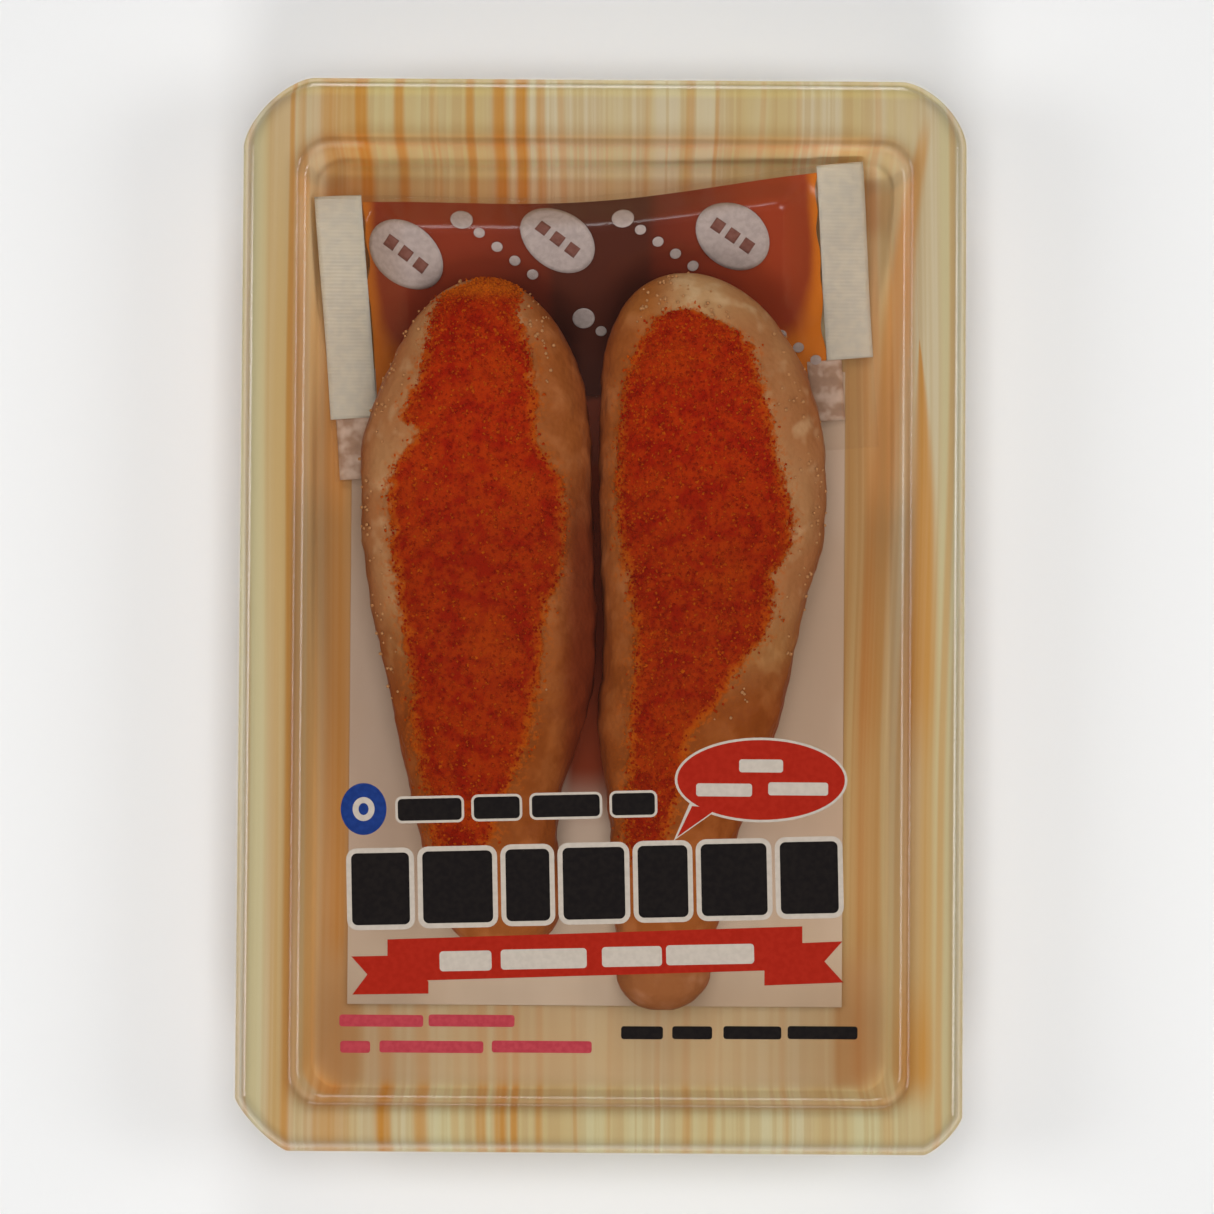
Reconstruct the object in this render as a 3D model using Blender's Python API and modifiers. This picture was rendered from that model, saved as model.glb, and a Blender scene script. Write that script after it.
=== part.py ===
"""Shut pack of mentaiko: two seasoned roe sacs and a sauce sachet in a foam tray under a clear lid.

Metres, +Z up. The pack lies on its tray with the lid up, its length along Y and its far end at +Y.
Each sub-part is one object: tray, lid, liner, sauce_sachet, roe_left and roe_right.
"""

import bisect
import math

import bmesh
import bpy
import numpy as np
from mathutils import Vector, noise

COLLECTION_NAME = "mentaiko_pack"

# Whole pack
PACK_WIDTH = 0.1033
PACK_LENGTH = 0.1528
MOUTH_CORNER = 0.004
CORNER_SHRINK = 0.65
CORNER_STEPS = 5

# Corners of the outline, anticlockwise from the far right one: how far each reaches along the sides, and how
# bluntly it is cut, from 1 for a quarter of a circle to 2 for a straight cut. The cut fades towards the mouth.
CORNER_REACHES = (0.0095, 0.0100, 0.0076, 0.0056)
CORNER_CUTS = (1.20, 1.30, 1.60, 1.50)
CUT_FADE = 0.008
BEND_STEPS = 3

# Foam tray: the far rim is wider than the near one
TRAY_WALL = 0.0015
TRAY_TOP = 0.0244
FLOOR_INSETS = (0.0106, 0.0107, 0.0090)
MOUTH_INSETS = (0.0078, 0.0090, 0.0067)
LIP_INSETS = (0.0010, 0.0010, 0.0010)
LIP_LEAN = 0.0011
LIP_DROP = 0.0046

# Clear lid: a skirt, a flat rim and a panel let into the mouth of the tray
LID_WALL = 0.00035
LID_TOP = 0.0252
SKIRT_BOTTOM = 0.0184
SKIRT_INSETS = (0.0, 0.0, 0.0)
RIM_INSETS = (0.0012, 0.0012, 0.0012)
RECESS_INSETS = (0.0085, 0.0102, 0.0074)
RECESS_DRAFT = 0.0006
PANEL_TOP = 0.0224

# Liner sheet on the tray floor
GAP = 0.0003
LINER_WIDTH = 0.0726
LINER_NEAR_EDGE = -0.0557
LINER_FAR_EDGE = 0.0360
LINER_THICKNESS = 0.0003
LINER_TOP = TRAY_WALL + GAP + LINER_THICKNESS

# Sauce sachet: u runs along its length, v across it, from under the roe up to the far wall
SACHET_LENGTH = 0.0788
SACHET_HEIGHT = 0.0405
SACHET_CENTRE = (-0.0009, 0.0425)
SACHET_TURN = math.radians(4.1)
SACHET_REST = LINER_TOP + GAP
SACHET_LIFT = 0.0085
SACHET_LIFT_START = -0.004
SACHET_SAG = 0.0031
SACHET_FILM = 0.0005
SEAL_BAND = 0.0060
SAUCE_DEPTH = 0.0046
SAUCE_NEAR_EDGE = -0.0095
SAUCE_FULL_AT = 0.011
SAUCE_SIDE_ROUND = 0.007
SAUCE_FAR_ROUND = 0.006
SACHET_COLUMNS = 26
SACHET_ROWS = 14

# Roe sacs: rows of (place along Y, centre in X, half width before the ends are rounded off)
LEFT_STATIONS = (
    (-0.0483, -0.0137, 0.0090),
    (-0.0404, -0.0143, 0.0090),
    (-0.0332, -0.0157, 0.0097),
    (-0.0246, -0.0165, 0.0109),
    (-0.0167, -0.0160, 0.0131),
    (-0.0089, -0.0159, 0.0148),
    (0.0000, -0.0168, 0.0158),
    (0.0120, -0.0180, 0.0165),
    (0.0242, -0.0180, 0.0163),
    (0.0371, -0.0170, 0.0158),
    (0.0480, -0.0172, 0.0158),
)
RIGHT_STATIONS = (
    (-0.0563, 0.0089, 0.0063),
    (-0.0480, 0.0092, 0.0068),
    (-0.0400, 0.0098, 0.0078),
    (-0.0318, 0.0104, 0.0090),
    (-0.0232, 0.0117, 0.0110),
    (-0.0145, 0.0126, 0.0129),
    (-0.0059, 0.0137, 0.0136),
    (0.0026, 0.0146, 0.0146),
    (0.0112, 0.0156, 0.0159),
    (0.0226, 0.0156, 0.0162),
    (0.0313, 0.0149, 0.0158),
    (0.0490, 0.0117, 0.0168),
)
LEFT_CAPS = (0.009, 0.0264)
RIGHT_CAPS = (0.005, 0.0240)
ROE_REST = LINER_TOP + GAP
ROE_HALF_HEIGHT = 0.0091
ROE_WIDEST = 0.0165
ROE_THIN_POWER = 0.6
ROE_CENTRE_SHARE = 0.95
ROE_LIFT = 0.0034
ROE_LIFT_START = 0.014
ROE_SIDE_POWER = 0.88
ROE_TOP_POWER = 0.92
ROE_UNDER_POWER = 0.70
ROE_SACHET_GAP = 0.00045
ROE_SACHET_MARGIN = 0.0035
ROE_SEGMENTS = 40
ROE_RINGS = 56
ROE_END_CROWDING = 0.5
LUMP_SIZE = 0.009
LUMP_HEIGHT = 0.0003
GRAIN_SIZE = 0.0026
GRAIN_HEIGHT = 0.0003


def clear_scene():
    for obj in list(bpy.data.objects):
        bpy.data.objects.remove(obj, do_unlink=True)


def make_collection():
    collection = bpy.data.collections.new(COLLECTION_NAME)
    bpy.context.scene.collection.children.link(collection)
    return collection


def make_material(name, colour, roughness, alpha=1.0):
    material = bpy.data.materials.new(name)
    material.use_nodes = True
    shader = material.node_tree.nodes["Principled BSDF"]
    shader.inputs["Base Color"].default_value = (*colour, 1.0)
    shader.inputs["Roughness"].default_value = roughness
    shader.inputs["Metallic"].default_value = 0.0
    shader.inputs["Alpha"].default_value = alpha
    return material


def add_object(name, bm, material, collection, smooth=True):
    mesh = bpy.data.meshes.new(name)
    bm.to_mesh(mesh)
    bm.free()
    if smooth:
        mesh.shade_smooth()
        mesh.set_sharp_from_angle(angle=math.radians(35))
    mesh.materials.append(material)
    obj = bpy.data.objects.new(name, mesh)
    collection.objects.link(obj)
    return obj


def smoothstep(t):
    t = min(max(t, 0.0), 1.0)
    return t * t * (3.0 - 2.0 * t)


def signed_power(value, power):
    return math.copysign(abs(value) ** power, value)


def station_value(stations, column, y):
    """One column of a table of stations at y, on a smooth curve through its rows."""
    places = [row[0] for row in stations]
    values = [row[column] for row in stations]
    last = len(places) - 1
    index = min(max(bisect.bisect_right(places, y) - 1, 0), last - 1)

    def slope(at):
        low, high = max(at - 1, 0), min(at + 1, last)
        return (values[high] - values[low]) / (places[high] - places[low])

    span = places[index + 1] - places[index]
    t = min(max((y - places[index]) / span, 0.0), 1.0)
    start = (1 + 2 * t) * (1 - t) ** 2 * values[index] + t * (1 - t) ** 2 * span * slope(index)
    end = t * t * (3 - 2 * t) * values[index + 1] + t * t * (t - 1) * span * slope(index + 1)
    return start + end


# Lofted shells of the tray and the lid


def rounded_profile(corners):
    """Rows of (side, far and near inset, height) along a section, each inner corner drawn as a curve.

    A corner is (insets, height, reach): the curve starts and ends at reach from the corner.
    """
    points = [np.array([*insets, height]) for insets, height, _ in corners]
    rows = [points[0]]
    for before, corner, after, (_, _, reach) in zip(points, points[1:], points[2:], corners[1:]):
        legs = [other - corner for other in (before, after)]
        start, end = (corner + leg * reach / math.hypot(leg[0], leg[3]) for leg in legs)
        for step in range(BEND_STEPS + 1):
            t = step / BEND_STEPS
            rows.append((1 - t) ** 2 * start + 2 * t * (1 - t) * corner + t * t * end)
    rows.append(points[-1])
    return rows


def ring_points(row):
    """A rectangle with rounded or cut corners, anticlockwise from above, at these insets from the outline."""
    side, far, near, height = row
    right = PACK_WIDTH / 2 - side
    ends = (PACK_LENGTH / 2 - far, PACK_LENGTH / 2 - near)
    corners = ((right, ends[0]), (-right, ends[0]), (-right, -ends[1]), (right, -ends[1]))
    fade = smoothstep(side / CUT_FADE)
    points = []
    for quarter, (corner_x, corner_y) in enumerate(corners):
        radius = max(MOUTH_CORNER, CORNER_REACHES[quarter] - CORNER_SHRINK * side)
        power = CORNER_CUTS[quarter] * (1 - fade) + fade
        centre_x = corner_x - math.copysign(radius, corner_x)
        centre_y = corner_y - math.copysign(radius, corner_y)
        for step in range(CORNER_STEPS + 1):
            angle = math.pi / 2 * (quarter + step / CORNER_STEPS)
            x = centre_x + radius * signed_power(math.cos(angle), power)
            y = centre_y + radius * signed_power(math.sin(angle), power)
            points.append((x, y, height))
    return points


def lofted_shell(name, corners, wall, material, collection):
    """The visible face of a formed sheet, lofted from its outer edge to its middle, with its wall below."""
    bm = bmesh.new()
    rings = [[bm.verts.new(point) for point in ring_points(row)] for row in rounded_profile(corners)]
    for outer, inner in zip(rings, rings[1:]):
        for index in range(len(outer)):
            after = (index + 1) % len(outer)
            bm.faces.new((outer[index], outer[after], inner[after], inner[index]))
    bm.faces.new(rings[-1])
    obj = add_object(name, bm, material, collection)
    solidify = obj.modifiers.new("wall", "SOLIDIFY")
    solidify.thickness = wall
    solidify.offset = -1.0
    solidify.use_even_offset = True
    return obj


def shifted(insets, amount):
    return tuple(inset + amount for inset in insets)


def make_tray(collection):
    material = make_material("tray_foam", (0.62, 0.45, 0.22), 0.45)
    corners = (
        (LIP_INSETS, TRAY_TOP - LIP_DROP, 0.0),
        (shifted(LIP_INSETS, LIP_LEAN), TRAY_TOP, 0.0018),
        (MOUTH_INSETS, TRAY_TOP, 0.0020),
        (FLOOR_INSETS, TRAY_WALL, 0.0024),
        (shifted(FLOOR_INSETS, 0.0040), TRAY_WALL, 0.0),
    )
    return lofted_shell("tray", corners, TRAY_WALL, material, collection)


def make_lid(collection):
    material = make_material("lid_clear", (0.95, 0.96, 0.96), 0.08, alpha=0.2)
    corners = (
        (SKIRT_INSETS, SKIRT_BOTTOM, 0.0),
        (RIM_INSETS, LID_TOP, 0.0013),
        (RECESS_INSETS, LID_TOP, 0.0011),
        (shifted(RECESS_INSETS, RECESS_DRAFT), PANEL_TOP, 0.0009),
        (shifted(RECESS_INSETS, 0.0040), PANEL_TOP, 0.0),
    )
    return lofted_shell("lid", corners, LID_WALL, material, collection)


# Liner


def make_liner(collection):
    bm = bmesh.new()
    bmesh.ops.create_cube(bm, size=1.0)
    size = Vector((LINER_WIDTH, LINER_FAR_EDGE - LINER_NEAR_EDGE, LINER_THICKNESS))
    bmesh.ops.scale(bm, verts=bm.verts, vec=size)
    material = make_material("liner_sheet", (0.60, 0.42, 0.30), 0.6)
    obj = add_object("liner", bm, material, collection, smooth=False)
    middle = (LINER_NEAR_EDGE + LINER_FAR_EDGE) / 2
    obj.location = (0.0, middle, LINER_TOP - LINER_THICKNESS / 2)
    return obj


# Sauce sachet


def sachet_sag(u):
    """How far the far edge is drawn in at u, by the sauce that fills the middle."""
    return SACHET_SAG * math.cos(math.pi * u / SACHET_LENGTH) ** 2


def sachet_underside(v):
    return SACHET_REST + SACHET_LIFT * smoothstep((v - SACHET_LIFT_START) / (SACHET_HEIGHT / 2 - SACHET_LIFT_START))


def sachet_thickness(u, v):
    """Two films pressed together in the seals and held apart by the sauce between them."""
    side = smoothstep((SACHET_LENGTH / 2 - SEAL_BAND - abs(u)) / SAUCE_SIDE_ROUND)
    near = smoothstep((v - SAUCE_NEAR_EDGE) / (SAUCE_FULL_AT - SAUCE_NEAR_EDGE))
    far = smoothstep((SACHET_HEIGHT / 2 - v) / SAUCE_FAR_ROUND)
    return SACHET_FILM + SAUCE_DEPTH * side * near * far


def sachet_world(u, v):
    sagged = v - sachet_sag(u) * (v / SACHET_HEIGHT + 0.5)
    x = SACHET_CENTRE[0] + u * math.cos(SACHET_TURN) - sagged * math.sin(SACHET_TURN)
    y = SACHET_CENTRE[1] + u * math.sin(SACHET_TURN) + sagged * math.cos(SACHET_TURN)
    return x, y


def sachet_local(x, y):
    """The u and v that sachet_world puts at x, y."""
    dx, dy = x - SACHET_CENTRE[0], y - SACHET_CENTRE[1]
    u = dx * math.cos(SACHET_TURN) + dy * math.sin(SACHET_TURN)
    sagged = -dx * math.sin(SACHET_TURN) + dy * math.cos(SACHET_TURN)
    sag = sachet_sag(u)
    return u, (sagged + sag / 2) / (1 - sag / SACHET_HEIGHT)


def make_sachet(collection):
    bm = bmesh.new()
    bmesh.ops.create_grid(bm, x_segments=SACHET_COLUMNS, y_segments=SACHET_ROWS, size=0.5)
    upper = list(bm.verts)
    extruded = bmesh.ops.extrude_face_region(bm, geom=list(bm.faces), use_keep_orig=True)
    lower = [item for item in extruded["geom"] if isinstance(item, bmesh.types.BMVert)]
    for verts, top_share in ((upper, 1.0), (lower, 0.0)):
        for vert in verts:
            u, v = vert.co.x * SACHET_LENGTH, vert.co.y * SACHET_HEIGHT
            x, y = sachet_world(u, v)
            vert.co = (x, y, sachet_underside(v) + top_share * sachet_thickness(u, v))
    bmesh.ops.recalc_face_normals(bm, faces=bm.faces)
    material = make_material("sachet_sauce", (0.16, 0.03, 0.015), 0.25)
    return add_object("sauce_sachet", bm, material, collection)


# Roe sacs


def end_rounding(y, near_end, far_end, near_cap, far_cap):
    """1 in the middle of a sac, falling to 0 at both ends as a quarter of an ellipse."""
    share = 1.0
    for distance, cap in ((y - near_end, near_cap), (far_end - y, far_cap)):
        if distance < cap:
            share *= math.sqrt(max(0.0, 1.0 - (1.0 - max(distance, 0.0) / cap) ** 2))
    return share


def ring_place(share):
    """Where a ring lies along a sac, from 0 to 1, with the rings closer together at the ends."""
    return share - ROE_END_CROWDING * math.sin(2 * math.pi * share) / (2 * math.pi)


def relief(point):
    """Soft lumps of the eggs inside, with bumps the size of the chili flakes on the skin."""
    lumps = noise.noise(point / LUMP_SIZE)
    grains = noise.noise(point / GRAIN_SIZE + Vector((7.0, 3.0, 5.0)))
    return LUMP_HEIGHT * lumps + GRAIN_HEIGHT * grains


def clear_of_sachet(x, y, z):
    """Lifts a point of a sac off the part of the sachet that the sac lies on."""
    u, v = sachet_local(x, y)
    beyond = max(abs(u) - SACHET_LENGTH / 2, abs(v) - SACHET_HEIGHT / 2)
    if beyond > ROE_SACHET_MARGIN:
        return z
    u = min(max(u, -SACHET_LENGTH / 2), SACHET_LENGTH / 2)
    v = min(max(v, -SACHET_HEIGHT / 2), SACHET_HEIGHT / 2)
    return max(z, sachet_underside(v) + sachet_thickness(u, v) + ROE_SACHET_GAP)


def make_sac(name, stations, caps, collection):
    """A sac from a sphere with its poles at the ends, fitted to the stations ring by ring."""
    near_end, far_end = stations[0][0], stations[-1][0]
    bm = bmesh.new()
    bmesh.ops.create_uvsphere(bm, u_segments=ROE_SEGMENTS, v_segments=ROE_RINGS, radius=1.0)
    for vert in bm.verts:
        polar = math.acos(max(-1.0, min(1.0, vert.co.z)))
        angle = math.atan2(vert.co.y, vert.co.x)
        y = far_end - (far_end - near_end) * ring_place(polar / math.pi)
        cap = end_rounding(y, near_end, far_end, *caps)
        width = station_value(stations, 2, y)
        height = ROE_HALF_HEIGHT * (width / ROE_WIDEST) ** ROE_THIN_POWER
        lift = ROE_LIFT * smoothstep((y - ROE_LIFT_START) / (far_end - ROE_LIFT_START))
        across = signed_power(math.cos(angle), ROE_SIDE_POWER)
        up = signed_power(math.sin(angle), ROE_TOP_POWER if math.sin(angle) > 0 else ROE_UNDER_POWER)
        point = Vector((across * width * cap, 0.0, up * height * cap ** 0.8))
        pushed = relief(Vector((point.x, y, point.z)) + Vector((stations[0][1], 0.0, 0.0))) * cap
        if point.length > 0.0:
            point += point.normalized() * pushed
        x = station_value(stations, 1, y) + point.x
        z = max(ROE_REST, ROE_REST + height * ROE_CENTRE_SHARE + lift + point.z)
        vert.co = (x, y, clear_of_sachet(x, y, z))
    bmesh.ops.reverse_faces(bm, faces=bm.faces)
    material = make_material(name + "_skin", (0.36, 0.12, 0.04), 0.4)
    return add_object(name, bm, material, collection)


def main():
    clear_scene()
    collection = make_collection()
    make_tray(collection)
    make_lid(collection)
    make_liner(collection)
    make_sachet(collection)
    make_sac("roe_left", LEFT_STATIONS, LEFT_CAPS, collection)
    make_sac("roe_right", RIGHT_STATIONS, RIGHT_CAPS, collection)


main()
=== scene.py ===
"""Looks of a shut pack of mentaiko: two chili-coated roe sacs and a sauce sachet in a wood-grain foam tray.

Metres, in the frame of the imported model: +Z up, the length along Y, the end with the sachet at +Y.
The forms repeat those of the solids from the same named sizes, with finer steps.
"""

import bisect
import random
from math import copysign, cos, exp, hypot, pi, radians, sin, sqrt

import bmesh
import bpy
from mathutils import Matrix, Vector, noise

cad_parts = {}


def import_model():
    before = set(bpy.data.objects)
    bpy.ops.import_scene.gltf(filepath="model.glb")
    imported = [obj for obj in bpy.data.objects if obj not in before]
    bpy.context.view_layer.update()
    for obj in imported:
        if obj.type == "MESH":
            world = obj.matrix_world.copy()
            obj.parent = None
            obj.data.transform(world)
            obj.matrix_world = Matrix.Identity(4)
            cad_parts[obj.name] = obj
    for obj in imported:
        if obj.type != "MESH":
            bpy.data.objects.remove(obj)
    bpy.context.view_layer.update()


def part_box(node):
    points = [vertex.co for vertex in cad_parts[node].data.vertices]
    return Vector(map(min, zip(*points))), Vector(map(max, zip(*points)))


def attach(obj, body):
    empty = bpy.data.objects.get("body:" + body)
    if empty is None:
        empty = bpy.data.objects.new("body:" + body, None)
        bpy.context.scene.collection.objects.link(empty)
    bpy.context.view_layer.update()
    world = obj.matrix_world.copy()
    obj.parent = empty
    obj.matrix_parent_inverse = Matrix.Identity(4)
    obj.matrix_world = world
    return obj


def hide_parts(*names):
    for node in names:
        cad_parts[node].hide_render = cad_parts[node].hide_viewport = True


# Photograph: where the pack lies in it, and the camera that took it
PHOTO_SIDE = 1214
PHOTO_CENTRE = (600.0, 612.3)
PX_PER_M = 7105.0
CAMERA_HEIGHT = 0.90
CAMERA_TILT = radians(2.5)
CAMERA_ROLL = radians(0.4)
SENSOR = 36.0

# Lofts of the tray and the lid. Insets are from the outline, at the sides, the far end and the near end.
MOUTH_CORNER = 0.004
CORNER_SHRINK = 0.65
CORNER_STEPS = 18
BEND_STEPS = 8
SHARP_ANGLE = radians(50)

# Corners of the outline, anticlockwise from the far right one: how far each reaches along the sides, and
# how bluntly it is cut, from 1 for a quarter of a circle to 2 for a straight cut. The cut fades inwards.
CORNER_REACHES = (0.0095, 0.0100, 0.0076, 0.0056)
CORNER_CUTS = (1.20, 1.30, 1.60, 1.50)
CUT_FADE = 0.008

# Foam tray
TRAY_WALL = 0.0015
TRAY_TOP = 0.0244
FLOOR_INSETS = (0.0106, 0.0107, 0.0090)
MOUTH_INSETS = (0.0078, 0.0090, 0.0067)
FLANGE_INSETS = (0.0002, 0.0002, 0.0002)
FLANGE_BOTTOM = 0.0172
FLANGE_TOP = 0.0181
LIP_INSETS = (0.0009, 0.0009, 0.0009)
LIP_LEAN = 0.0011

# Clear lid
LID_WALL = 0.00035
LID_TOP = 0.0252
SKIRT_BOTTOM = 0.0184
SKIRT_INSETS = (0.0, 0.0, 0.0)
RIM_INSETS = (0.0012, 0.0012, 0.0012)
RECESS_INSETS = (0.0085, 0.0102, 0.0074)
RECESS_DRAFT = 0.0006
PANEL_TOP = 0.0224

# Sauce sachet: u runs along its length, v across it
GAP = 0.0003
LINER_TOP = 0.0021
LINER_TRIM = 0.0014
SACHET_LENGTH = 0.0788
SACHET_HEIGHT = 0.0405
SACHET_CENTRE = (-0.0009, 0.0425)
SACHET_TURN = radians(4.1)
SACHET_REST = LINER_TOP + GAP
SACHET_LIFT = 0.0085
SACHET_LIFT_START = -0.004
SACHET_SAG = 0.0023
SACHET_FILM = 0.0005
SEAL_BAND = 0.0060
SAUCE_DEPTH = 0.0046
SAUCE_NEAR_EDGE = -0.0095
SAUCE_FULL_AT = 0.011
SAUCE_SIDE_ROUND = 0.007
SAUCE_FAR_ROUND = 0.006
SAUCE_INSET = 0.00025
SAUCE_FAR_GAP = 0.0010
SAUCE_RAGGED = 0.0009
SAUCE_RAGGED_SIZE = 0.0045
THINNEST_SAUCE = 0.00004
FILM_STEPS = (150, 80)
SAUCE_STEPS = (130, 70)

# Creases of the film: two sizes along u and v, their depth, and how much deeper they are where it is empty
CREASES_WIDE = (0.0042, 0.0060)
CREASES_FINE = (0.0019, 0.0026)
CREASE_DEPTH = 0.00010
CREASE_DEEPER = 0.00022

# Seal bands and flaps, at the left and right ends: where they start, their width and their length
SEAL_NEAR_EDGES = (-0.0112, -0.0072)
SEAL_DRAWN = 0.0067
FLAP_STARTS = (0.0336, 0.0298)
FLAP_WIDTH = 0.0050
FLAP_LENGTH = 0.0088
BAND_STEPS = (10, 60)
FLAP_STEPS = (8, 14)

# Print on the sachet: ovals with a row of three marks in each, and rows of dots that start with a large one
PRINT_LIFT = 0.00003
MARK_LIFT = 0.00012
PRINT_BODY = 0.00002
OVAL_CENTRES = ((-0.0268, 0.0115), (-0.0050, 0.0135), (0.0200, 0.0115))
OVAL_RADII = (0.0058, 0.0043)
OVAL_TURN = radians(-40)
MARK_SIZE = 0.0017
MARK_STEP = 0.0026
DOT_ROWS = ((-0.0185, 0.0165), (0.0045, 0.0160), (-0.0020, 0.0020), (0.0215, 0.0010))
DOT_RADII = (0.0016, 0.0008, 0.0008, 0.0008, 0.0008)
DOT_STEP = (0.0024, -0.0020)
DISC_STEPS = (40, 8)
SQUARE_STEPS = (8, 3)

# Roe sacs: rows of (place along Y, centre in X, half width before the ends are rounded off)
LEFT_STATIONS = (
    (-0.0483, -0.0137, 0.0090),
    (-0.0404, -0.0143, 0.0090),
    (-0.0332, -0.0157, 0.0097),
    (-0.0246, -0.0165, 0.0109),
    (-0.0167, -0.0160, 0.0131),
    (-0.0089, -0.0159, 0.0148),
    (0.0000, -0.0168, 0.0158),
    (0.0120, -0.0180, 0.0165),
    (0.0242, -0.0180, 0.0163),
    (0.0371, -0.0170, 0.0158),
    (0.0480, -0.0172, 0.0158),
)
RIGHT_STATIONS = (
    (-0.0563, 0.0089, 0.0063),
    (-0.0480, 0.0092, 0.0068),
    (-0.0400, 0.0098, 0.0078),
    (-0.0318, 0.0104, 0.0090),
    (-0.0232, 0.0117, 0.0110),
    (-0.0145, 0.0126, 0.0129),
    (-0.0059, 0.0137, 0.0136),
    (0.0026, 0.0146, 0.0146),
    (0.0112, 0.0156, 0.0159),
    (0.0226, 0.0156, 0.0162),
    (0.0313, 0.0149, 0.0158),
    (0.0490, 0.0117, 0.0168),
)

# How far the rounded ends of the sacs reach, near and far, and then their section and their fine form
LEFT_CAPS = (0.009, 0.0264)
RIGHT_CAPS = (0.005, 0.0240)
ROE_REST = LINER_TOP + GAP
ROE_HALF_HEIGHT = 0.0091
ROE_WIDEST = 0.0165
ROE_THIN_POWER = 0.6
ROE_CENTRE_SHARE = 0.95
ROE_LIFT = 0.0034
ROE_LIFT_START = 0.014
ROE_SIDE_POWER = 0.88
ROE_TOP_POWER = 0.92
ROE_UNDER_POWER = 0.70
ROE_END_POWER = 0.8
ROE_SACHET_GAP = 0.00045
ROE_SACHET_MARGIN = 0.0035
ROE_SEGMENTS = 210
ROE_RINGS = 300
ROE_END_CROWDING = 0.5
LUMP_SIZE = 0.009
LUMP_HEIGHT = 0.0003
GRAIN_SIZE = 0.0026
GRAIN_HEIGHT = 0.0003

# Relief that only the scene has: eggs under the membrane, and the crust of chili on it
EGG_SIZE = 0.0010
EGG_HEIGHT = 0.00007
CRUST_SIZE = 0.0011
CRUST_HEIGHT = 0.00022
CRUST_LEVEL = (0.6, 0.9)
CRUST_RAGGED = 0.0011
CRUST_RAGGED_SIZE = 0.0016
CRUST_STEP = 0.0008
# Painted shade on the underside and lower flanks of the sacs: its share at the widest line, and how fast it
# fades upwards
LOW_SHADE_FROM, LOW_SHADE_FADE = 0.5, 0.9
NO_CHILI = -0.01

# Chili crust: rows of (pixel row, first pixel, last pixel), from the far end to the near end
LEFT_CHILI_PX = (
    (268, 484, 498), (282, 466, 514), (292, 440, 521), (315, 429, 516), (347, 423, 528),
    (380, 417, 531), (396, 404, 534), (419, 400, 535), (432, 417, 535), (445, 408, 536),
    (477, 386, 560), (510, 387, 563), (543, 390, 563), (575, 394, 561), (600, 395, 546),
    (634, 401, 541), (668, 406, 539), (701, 409, 533), (735, 411, 528), (769, 418, 516),
    (800, 424, 502), (840, 430, 488), (862, 446, 470),
)
RIGHT_CHILI_PX = (
    (312, 668, 694), (318, 655, 708), (331, 646, 735), (347, 635, 750), (380, 623, 757),
    (412, 618, 768), (445, 616, 773), (477, 615, 784), (510, 615, 790), (543, 620, 791),
    (575, 624, 770), (600, 627, 772), (634, 634, 765), (668, 631, 736), (701, 628, 718),
    (735, 627, 688), (769, 627, 684), (800, 624, 676), (840, 622, 664), (866, 632, 652),
)
CHILI_HEIGHT = 0.018
CHILI_ENDS = 0.0006

# The sacs: piece, node, stations, caps, chili rows and material
SACS = (
    ("sac_left", "roe_left", LEFT_STATIONS, LEFT_CAPS, LEFT_CHILI_PX, "roe_skin_left"),
    ("sac_right", "roe_right", RIGHT_STATIONS, RIGHT_CAPS, RIGHT_CHILI_PX, "roe_skin_right"),
)

# Loose grains of chili and beads of roe on the sacs
FLAKES_PER_SAC = 7500
FLAKE_SIZE = (0.00022, 0.00062)
FLAKE_RING = (0.35, 0.62)
FLAKE_TOP = (0.18, 0.38)
FLAKE_LOW = 0.25
FLAKE_LEAN = 0.5
FLAKE_LIFT = 0.00006
SCATTER_SHIFT = 0.0002
STEEPEST = 0.05
STRAY_REACH = 0.0022
STRAY_EDGE = 0.0004
STRAY_CHANCE = 0.30
STRAY_PATCHES = 0.003
STRAY_PALER = 0.3
BEADS_PER_SAC = 110
BEAD_SIZE = (0.00014, 0.00030)
BEAD_CLEFT_GAP = 0.006
BEADS_NEAREST = -0.016
BEADS_RIM = -0.0035
BEADS_SPREAD = 0.0022
BEADS_INSIDE = -0.0002
BEAD_CLUSTERS = 0.006
BEAD_LIFT = 0.4

# Gloss: the specular level of matt pieces, the share that a clear sheet reflects straight on, and the most
# that the lid and the film reflect
MATT = 0.05
STRAIGHT_ON = 0.04
LID_SHINE = 0.12
FILM_SHINE = 0.2


def clamp(value, low=0.0, high=1.0):
    return min(max(value, low), high)


def smoothstep(t):
    t = clamp(t)
    return t * t * (3.0 - 2.0 * t)


def signed_power(value, power):
    return copysign(abs(value) ** power, value)


def photo_point(px, py, height):
    """The point x, y of the pack at this height that shows at a pixel of the photograph."""
    right = (px - PHOTO_CENTRE[0]) / PX_PER_M
    up = (PHOTO_CENTRE[1] - py) / PX_PER_M
    x = right * cos(CAMERA_ROLL) - up * sin(CAMERA_ROLL)
    y = right * sin(CAMERA_ROLL) + up * cos(CAMERA_ROLL)
    depth = LID_TOP - height
    share = depth / (CAMERA_HEIGHT + depth)
    camera_y = -sin(CAMERA_TILT) * CAMERA_HEIGHT
    return x / (1 - share), (y - camera_y * share) / (1 - share)


# Shader nodes


def put(tree, kind, inputs=None, **settings):
    """Adds a node. An input is a value or the socket that feeds it."""
    node = tree.nodes.new("ShaderNode" + kind)
    for key, value in settings.items():
        setattr(node, key, value)
    for key, value in (inputs or {}).items():
        if isinstance(value, bpy.types.NodeSocket):
            tree.links.new(value, node.inputs[key])
        else:
            node.inputs[key].default_value = value
    return node


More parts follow.
